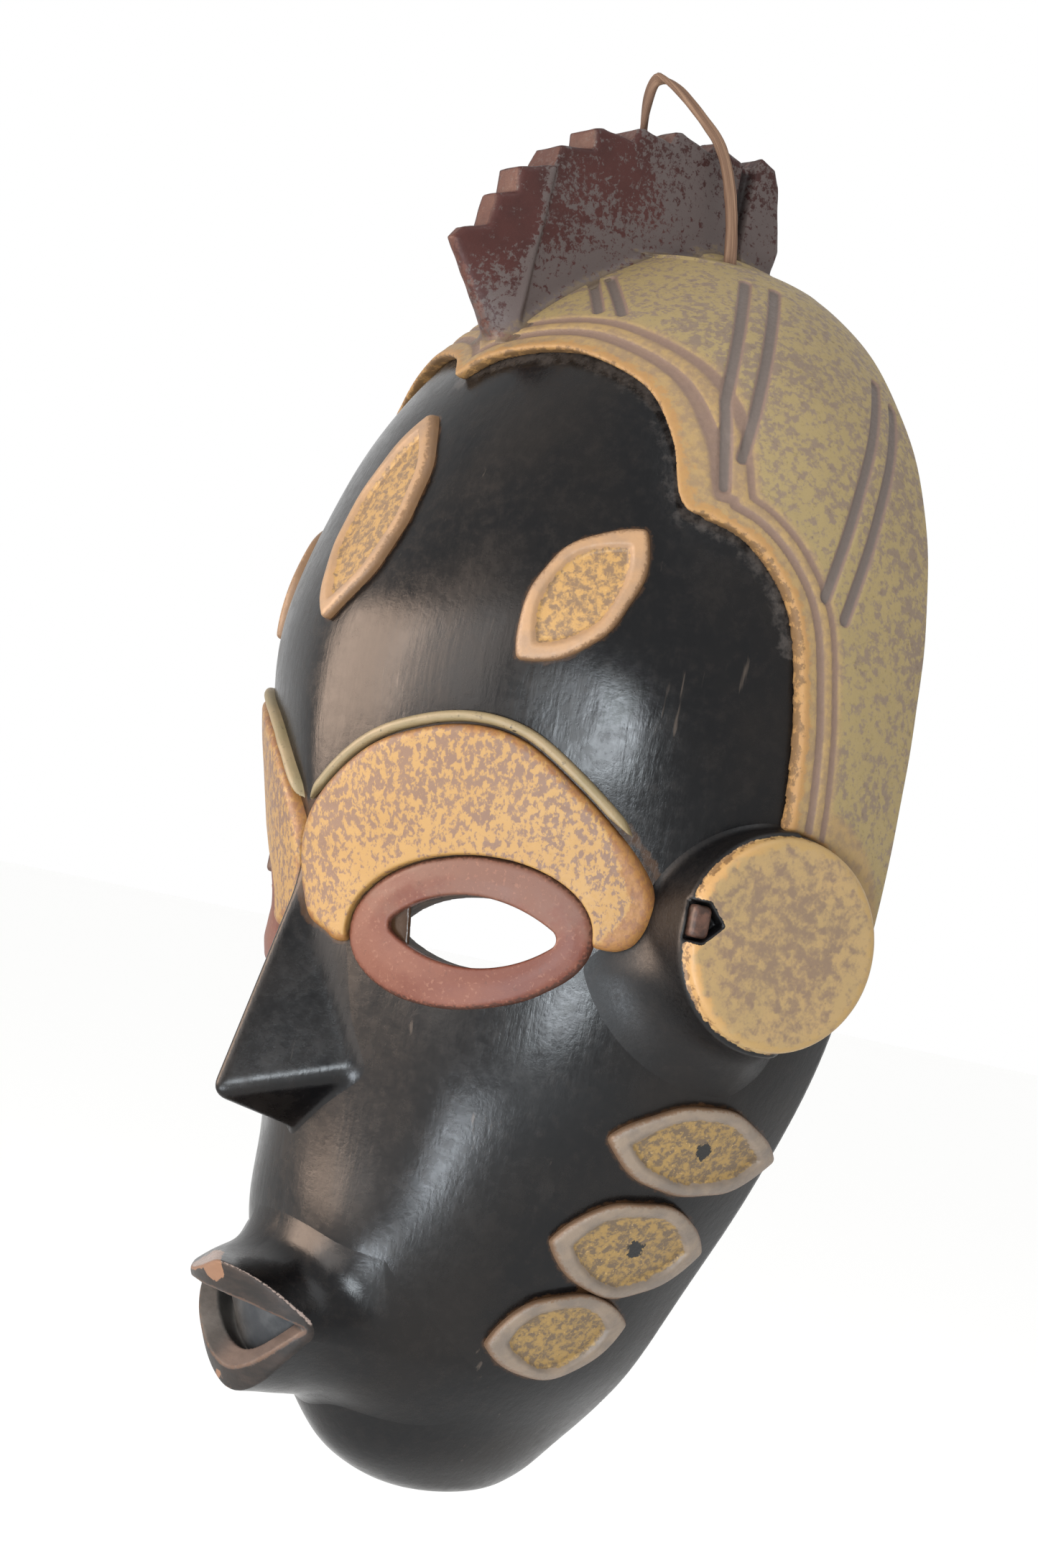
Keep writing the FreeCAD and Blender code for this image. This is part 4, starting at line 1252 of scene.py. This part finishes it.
def ear_paint():
    m = Paint("ear_ochre", 0.45, 0.35)
    stain, _, _, streak = black_stain(m)
    face = m.mark("face")
    inset = m.mark("inset")
    wash = m.noise(20.0, 3.0, seed=61.0)
    base = m.mix(wash, (0.57, 0.485, 0.39), (0.60, 0.49, 0.41))
    blot = m.mix(m.noise(9.0, 3.0, seed=62.0), (0.70, 0.60, 0.42), (0.78, 0.64, 0.44))
    colour, level = mottled(m, base, blot, 2.6, m.band(inset, 2.0, 14.0, 0.05, -0.02), 63.0, 1.0, 0.11)
    speck = m.noise(0.9, 4.0, 0.7, seed=65.0)
    colour = m.over(colour, speck, 0.58, 0.70, 0.35, (0.80, 0.67, 0.45))
    colour = m.over(colour, m.noise(1.3, 4.0, 0.7, seed=69.0), 0.60, 0.70, 0.35, (0.42, 0.33, 0.25))
    rim = m.ragged(inset, 1.2, 3.5, 4.0, 0.6, 66.0)
    warm = m.mix(m.mark("front"), (0.76, 0.62, 0.39), (0.86, 0.66, 0.41))
    colour = m.over(colour, rim, 3.0, 1.2, 0.85, warm)
    chipped = m.ragged(inset, 1.0, 2.0, 4.0, 0.7, 64.0)
    colour = m.over(colour, chipped, 0.1, -0.5, 0.7, (0.42, 0.29, 0.19))
    shown = m.ragged(face, 0.18, 1.8, 4.0, 0.7, 68.0)
    shown = m.band(shown, 0.45, 0.55)
    colour = m.mix(shown, stain, colour)
    m.put(m.shader.inputs["Specular IOR Level"], m.band(shown, 0.0, 1.0, 0.22, 0.30))
    return m.finish(colour, m.band(speck, 0.3, 0.7, 0.34, 0.48),
                    [(level, 0.06), (speck, 0.05), (streak, 0.06)])


def crest_paint():
    m = Paint("crest_oxblood", 0.5, 0.22)
    wash = m.noise(24.0, 4.0, 0.6, seed=71.0)
    red = m.blend(wash, 0.35, 0.65, (0.24, 0.12, 0.105), (0.32, 0.165, 0.145))
    grey = m.mix(wash, (0.36, 0.31, 0.30), (0.43, 0.38, 0.365))
    # crease: a painted highlight, more grey along the crease of the crest so that it shows as a light line.
    share = m.add(m.band(m.mark("base"), 26.0, 3.0, -0.085, 0.09), m.times(m.mark("crease"), 0.14))
    share = m.add(share, m.times(m.mark("wedge"), -0.05))
    colour, level = mottled(m, red, grey, 1.4, share, 72.0, 1.0, 0.05)
    worn = m.ragged(m.mark("worn"), 0.3, 2.5, 4.0, 0.7, 74.0)
    colour = m.over(colour, worn, 0.55, 0.9, 0.5,
                    m.mix(m.noise(4.0, 3.0, seed=75.0), (0.44, 0.26, 0.21), (0.53, 0.345, 0.275)))
    # Painted shade: the groove at the back of the crest is painted near black.
    colour = m.mix(m.times(m.mark("groove"), 0.75), colour, (0.10, 0.09, 0.095))
    foot = m.ragged(m.mark("base"), 1.6, 2.0, 4.0, 0.7, 76.0)
    colour = m.over(colour, foot, 1.6, 0.0, 0.7, (0.47, 0.40, 0.31))
    speck = m.noise(1.0, 4.0, 0.7, seed=77.0)
    return m.finish(colour, m.band(speck, 0.3, 0.7, 0.40, 0.58), [(level, 0.08), (speck, 0.06)])


def lip_paint():
    """Black outside, bare and rubbed wood on the facets of the opening, with painted shade, a painted
    reflection and a painted highlight.
    """
    m = Paint("lip_wood", 0.42, 0.22)
    black, fine, _, streak = black_stain(m)
    grain = m.noise(3.0, 5.0, 0.65, vector=m.stretched(0.25, 0.6, 1.0), seed=81.0)
    cloudy = m.band(m.noise(9.0, 4.0, 0.6, seed=84.0), 0.35, 0.65)
    front = m.blend(grain, 0.35, 0.65, (0.14, 0.125, 0.115), (0.23, 0.19, 0.17))
    pink = m.blend(grain, 0.35, 0.65, (0.44, 0.36, 0.32), (0.53, 0.44, 0.39))
    # Painted light in the opening: shade is painted shade with a painted blue reflection, the far side
    # takes greyer copies (pale, and the grey front), and the inside is painted light so the hollow shows no
    # dark hole.
    shade = m.mix(cloudy, (0.22, 0.24, 0.26), (0.36, 0.37, 0.38))
    pale = m.mix(cloudy, (0.25, 0.24, 0.23), (0.36, 0.345, 0.33))
    front = m.mix(m.mark("far"), front, m.mix(cloudy, (0.20, 0.19, 0.185), (0.30, 0.285, 0.275)))
    deep = m.mix(m.mark("far"), shade, pale)
    bare = m.mix(m.mark("deep"), front, deep)
    bare = m.mix(m.mark("lower"), bare, pink)
    shown = m.add(m.mark("facet"), m.band(fine, 0.3, 0.7, -0.12, 0.12))
    colour = m.blend(shown, 0.42, 0.58, black, bare)
    line = m.ragged(m.mark("line"), 0.35, 2.5, 4.0, 0.7, 85.0)
    colour = m.over(colour, line, 0.5, 0.8, 0.7, (0.42, 0.31, 0.24))
    # Painted highlight: a pale line along the edge of the upper lip.
    rim = m.ragged(m.mark("rim"), 0.25, 2.0, 4.0, 0.7, 82.0)
    colour = m.over(colour, rim, 0.45, 0.75, 0.85, (0.70, 0.62, 0.58))
    chip = m.ragged(m.mark("chip"), 0.3, 3.0, 4.0, 0.7, 83.0)
    tan = m.mix(grain, (0.70, 0.52, 0.40), (0.56, 0.41, 0.31))
    colour = m.blend(chip, 0.45, 0.60, colour, tan)
    rough = m.add(m.band(fine, 0.3, 0.7, 0.20, 0.30), m.band(shown, 0.42, 0.58, 0.0, 0.30))
    return m.finish(colour, rough, [(grain, 0.08), (fine, 0.07), (streak, 0.12)])


def stub_paint():
    """Bare brown wood in the notches of the ears."""
    m = Paint("stub_wood", 0.5, 0.3)
    grain = m.noise(1.8, 4.0, 0.65, seed=95.0)
    colour = m.blend(grain, 0.35, 0.65, (0.27, 0.19, 0.155), (0.43, 0.30, 0.245))
    return m.finish(colour, None, [(grain, 0.1)])


def cord_paint():
    m = Paint("cord_fibre", 0.75, 0.25)
    thread = m.mark("thread")
    run = m.mark("run")
    lay = m.nodes.new("ShaderNodeCombineXYZ")
    m.put(lay.inputs[0], m.times(thread, 0.001))
    m.put(lay.inputs[1], m.times(run, 0.00002))
    strand = m.noise(0.35, 3.0, 0.6, vector=lay.outputs[0], seed=91.0)
    wide = m.noise(1.2, 2.0, 0.6, vector=lay.outputs[0], seed=92.0)
    colour = m.blend(strand, 0.35, 0.65, (0.52, 0.395, 0.31), (0.68, 0.545, 0.44))
    colour = m.over(colour, wide, 0.40, 0.62, 0.6, (0.45, 0.33, 0.26))
    colour = m.over(colour, run, 88.0, 100.0, 0.55, (0.36, 0.25, 0.20))
    return m.finish(colour, None, [(strand, 0.25), (wide, 0.2)])


# ------------------------------------------------------------ masks for paint

ALL_MARKS = [(FOREHEAD_MARK, 1.0), (FOREHEAD_MARK, -1.0), (CENTRE_MARK, 1.0)]
ALL_MARKS += [(mark, side) for mark in CHEEK_MARKS.values() for side in (1.0, -1.0)]


def shell_marks(p):
    """Where the inside begins, and how near painted pieces and the hairline are."""
    h = head(p)
    fringe = np.full(len(p), 20.0)
    for side in (1.0, -1.0):
        ring, _, brow = eye_lines(p, side)
        above = step01(150.0, 158.0, p[:, 2])
        fringe = np.minimum(fringe,
                            np.minimum(np.maximum(brow, 0.6 - ring),
                                       np.abs(brow - 1.9) - 0.6 + 8.0 * (1.0 - above)))
        fringe = np.minimum(fringe, ring + 1.4)
    for mark, side in ALL_MARKS:
        fringe = np.minimum(fringe, mark_lines(p, mark, side)[0])
    line = hairline(p)
    dust = step01(-6.0, -1.0, line) * (1.0 - step01(0.5, 1.5, line)) * (p[:, 2] > 225)
    return {"inside": step01(-0.6, -1.6, h), "fringe": fringe, "dust": 0.75 * dust}


def hair_marks(p):
    line = hairline(p)
    clear = ear_clear(p)
    # line also carries the distance to the gap by each ear, so the painted shadow line at the hair's edge
    # runs round the ears.
    return {"line": np.minimum(line, clear * 1.2 + 1.0), "lines": rim_lines(line),
            "groove": groove_depth(p)}


def brow_marks(side):
    def marks(p):
        ring, _, brow = eye_lines(p, side)
        u, _, _ = on_plane(p, EYE_CENTRE, EYE_TURN, side)
        return {"inset": np.minimum(-brow, ring + 3.0), "height": ring, "end": step01(28.0, 40.0, u)}
    return marks


def ring_marks(side):
    def marks(p):
        ring, hole, _ = eye_lines(p, side)
        _, v, _ = on_plane(p, EYE_CENTRE, EYE_TURN, side)
        # edge: distance to the ring's outer edge and to the eye hole, for the dark edge line and the
        # painted shadow along the hole.
        return {"edge": np.minimum(-ring, hole + 0.9), "height": v}
    return marks


def leaf_marks(mark, side, chipped):
    def marks(p):
        outer, inner = mark_lines(p, mark, side)
        centre, turn = mark[0], mark[1]
        u, v, _ = on_plane(p, centre, turn, side)
        chip = np.hypot(u - 1.0, v - 0.5) if chipped else np.full(len(p), 30.0)
        return {"floor": step01(0.8, -0.6, inner), "edge": -outer, "chip": chip}
    return marks


def ear_marks(side, notch):
    def marks(p):
        u, v, out = on_plane(p, EAR_CENTRE, EAR_TURN, side)
        inset = EAR_RADIUS - np.hypot(u, v)
        front = step01(0.2, 0.9, -u / EAR_RADIUS)
        face = step01(-3.2, -1.6, out + 0.5 * front) * step01(0.2, 1.2, ear_notch(u, v, notch))
        return {"face": face, "inset": inset, "front": front}
    return marks


def crest_marks(p):
    x, y, z = np.abs(p[:, 0]), p[:, 1], p[:, 2]
    outline = CREST_SHAPE(y, z)
    e = 0.6
    slope = (CREST_SHAPE(y + e, z) - outline) / e
    crease = crest_crease(z)
    base = head(p) - HAIR
    facing = step01(-0.1, -0.7, slope) * step01(-1.3, -0.5, outline)
    facing = facing * step01(-0.5, 0.6, crest_half(p) - 1.0 - x)
    front = step01(-1.6, -0.6, outline) * step01(321.0, 316.0, z) * step01(-80.0, -84.0, y)
    groove_front, groove_back = CREST_GROOVE
    groove = step01(groove_front - 0.6, groove_front + 0.8, y)
    groove = groove * step01(groove_back + 0.8, groove_back - 0.6, y)
    return {
        "base": base,
        "worn": np.maximum(facing * step01(310.0, 316.0, z) * step01(-12.0, -20.0, y), 0.75 * front),
        # crease: where the painted highlight along the crest's crease goes.
        "crease": np.exp(-((y - crease) / 1.6) ** 2) * step01(-1.0, -0.2, x - crest_half(p) + 0.8),
        "wedge": step01(crease + 1.0, crease - 1.0, y),
        # groove: where the painted shade in the back groove goes.
        "groove": groove * step01(-1.0, -2.0, outline),
    }


def mouth_marks(p):
    x, z = p[:, 0], p[:, 2]
    front = lip_front(p)
    body = muzzle_body(p)
    opening = mouth_hollow(p)
    near_front = step01(-1.1, -0.5, front) * step01(30.0, 28.5, np.abs(x))
    on_front = near_front * step01(1.2, 0.4, body)
    inside = step01(0.7, 0.2, opening)
    lower = step01(44.5, 43.0, z) * step01(-9.0, 1.0, x)
    # Where the painted highlight along the upper lip's edge goes.
    upper_rim_highlight = np.exp(-(body / 0.28) ** 2) * near_front * step01(44.5, 46.5, z)
    lip_line = np.exp(-((opening - 0.3) / 0.4) ** 2) * on_front
    ridge = lower * inside * step01(RIDGE + 0.9, RIDGE - 0.4, -front)
    chip = step01(-1.1, -0.3, lip_chip(p)) * step01(0.5, -0.3, -opening) * step01(-9.0, -7.0, front)
    chip = np.maximum(chip * step01(-22.0, -8.0, x),
                      on_front * step01(1.15, 0.85, np.hypot((x - 3.2) / 4.8, (z - 53.4) / 3.6)))
    tip = step01(1.2, 0.8, np.hypot((x + 3.0) / 5.0, (z - 23.5) / 3.0)) * near_front
    return {
        "facet": np.maximum(on_front, inside), "lower": ridge, "rim": upper_rim_highlight, "line": lip_line,
        # far: where the far-side copies of the painted light in the opening go.
        "deep": inside * (1.0 - ridge), "far": step01(2.0, -9.0, x), "chip": np.maximum(chip, 0.5 * tip),
    }


# ------------------------------------------------------------------- assembly

place_camera()
studio()

fibre = cord_paint()
cord, cord_line = cord_strip(fibre)


def knot(name, side):
    """A plain overhand knot pulled tight: a lump of crossing turns."""
    t = np.linspace(0.0, 2.0 * math.pi, 240, endpoint=False)
    line = np.stack([
        (2.0 + 1.0 * np.cos(3.0 * t)) * np.cos(2.0 * t),
        (2.0 + 1.0 * np.cos(3.0 * t)) * np.sin(2.0 * t),
        1.5 * np.sin(3.0 * t) + 0.4 * np.sin(2.0 * t),
    ], 1)
    line += np.array([side * HOLE[0], HOLE[1], 305.6])
    tangent = np.roll(line, -1, 0) - np.roll(line, 1, 0)
    tangent /= np.linalg.norm(tangent, axis=1)[:, None]
    across = np.cross(tangent, [0.0, 0.0, 1.0])
    across /= np.linalg.norm(across, axis=1)[:, None]
    flat = np.cross(tangent, across)
    ring = np.linspace(0.0, 2.0 * math.pi, 16, endpoint=False)
    points, threads, run = [], [], []
    for i in range(len(line)):
        u, v = 1.45 * np.cos(ring), 1.15 * np.sin(ring)
        turn = 4.0 * t[i]
        x, y = u * math.cos(turn) - v * math.sin(turn), u * math.sin(turn) + v * math.cos(turn)
        points.append(line[i] + x[:, None] * across[i] + y[:, None] * flat[i])
        threads.append(u)
        run.append(np.full(16, 60.0 + i * 0.2))
    a = np.arange(240)[:, None] * 16 + np.arange(16)[None, :]
    b = np.arange(240)[:, None] * 16 + (np.arange(16)[None, :] + 1) % 16
    c, d = np.roll(b, -1, 0), np.roll(a, -1, 0)
    quads = np.stack([a, b, c, d], -1).reshape(-1, 4)
    piece = make_object(name, np.concatenate(points), quads,
                        {"thread": np.concatenate(threads), "run": np.concatenate(run)})
    bm = bmesh.new()
    bm.from_mesh(piece.data)
    bmesh.ops.recalc_face_normals(bm, faces=bm.faces)
    bm.to_mesh(piece.data)
    bm.free()
    piece.data.materials.append(fibre)
    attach(piece, "root")
    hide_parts(name.replace("knot_piece", "cord_knot"))
    return piece


knots = [knot("knot_piece_left", 1.0), knot("knot_piece_right", -1.0)]
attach(cord, "root")
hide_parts("hanging_cord")
tuple(cord_line[0])
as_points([tuple(p) for p in cord_line[::3]] + [tuple(cord_line[-1])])

wood = black_wood()
carve("carved_face", shell_field, (-99, -121, -4), (99, 2, 340), 1.0, wood, ["face_shell"], "black_wood",
      shell_marks)
carve("painted_hair", hair_field, (-99, -100, 155), (99, 2, 342), 0.7, hair_paint(), ["hair_cap"],
      "hair_ochre", hair_marks)
carve("toothed_crest", crest_field, (-13, -110, 280), (13, 0, 370), 0.5, crest_paint(), ["crest"],
      "crest_oxblood", crest_marks)
carve("carved_nose", nose_field, (-34, -126, 78), (34, -70, 172), 0.6, wood, ["nose"], "black_wood",
      shell_marks)
carve("carved_mouth", mouth_field, (-56, -120, 0), (56, -40, 82), 0.55, lip_paint(),
      ["upper_lip", "lower_lip"], "lip_wood", mouth_marks)

terracotta = ring_paint()
brow_ochre = brow_paint()
bead = edge_paint()
ear_ochre = ear_paint()
stub_wood = stub_paint()
warm_mark = mark_paint("mark_ochre", (0.78, 0.61, 0.44), (0.70, 0.56, 0.43), (0.56, 0.44, 0.32),
                       (0.80, 0.62, 0.36), 51.0)
grey_mark = mark_paint("mark_ochre_grey", (0.61, 0.535, 0.46), (0.52, 0.465, 0.415), (0.46, 0.38, 0.29),
                       (0.68, 0.545, 0.31), 151.0)


def box_on(side, low, high):
    """A box given for the left half, mirrored for the right."""
    xs = sorted((low[0] * side, high[0] * side))
    return (xs[0], *low[1:]), (xs[1], *high[1:])


for word, side, notch in (("left", 1.0, LEFT_NOTCH), ("right", -1.0, RIGHT_NOTCH)):
    pieces = [
        ("ring_", ring_field(side), (8, -112, 118), (78, -56, 174), 0.4,
         terracotta, "eye_ring_", "ring_terracotta", ring_marks(side)),
        ("brow_pad_", brow_field(side), (0, -120, 128), (92, -44, 206), 0.45,
         brow_ochre, "brow_", "brow_ochre", brow_marks(side)),
        ("brow_bead_", brow_edge_field(side), (0, -122, 150), (94, -44, 210), 0.4,
         bead, "brow_edge_", "brow_edge", None),
        ("ear_disc_", ear_field(side, notch), (46, -86, 112), (108, 1, 190), 0.6,
         ear_ochre, "ear_", "ear_ochre", ear_marks(side, notch)),
        ("stub_", stub_field(side, notch), (70, -72, 140), (106, -52, 168), 0.35,
         stub_wood, "ear_stub_", "black_wood", None),
        ("forehead_leaf_", mark_field(FOREHEAD_MARK, side), (40, -112, 198), (90, -60, 258), 0.4,
         warm_mark, "forehead_mark_", "mark_ochre", leaf_marks(FOREHEAD_MARK, side, False)),
    ]
    for name, field, low, high, cell, paint, node, slot, marks in pieces:
        carve(name + word, field, *box_on(side, low, high), cell, paint, [node + word], slot, marks)
    for level, mark in CHEEK_MARKS.items():
        x, y, z = mark[0]
        low, high = box_on(side, (x - 22, y - 30, z - 20), (x + 16, y + 28, z + 20))
        carve("cheek_leaf_" + word + "_" + level, mark_field(mark, side), low, high, 0.4,
              grey_mark, ["cheek_mark_" + word + "_" + level], "mark_ochre",
              leaf_marks(mark, side, level != "lower"))
carve("forehead_leaf_centre", mark_field(CENTRE_MARK, 1.0), (-18, -126, 210), (18, -94, 277), 0.4,
      warm_mark, ["forehead_mark_centre"], "mark_ochre", leaf_marks(CENTRE_MARK, 1.0, False))

bpy.context.view_layer.update()
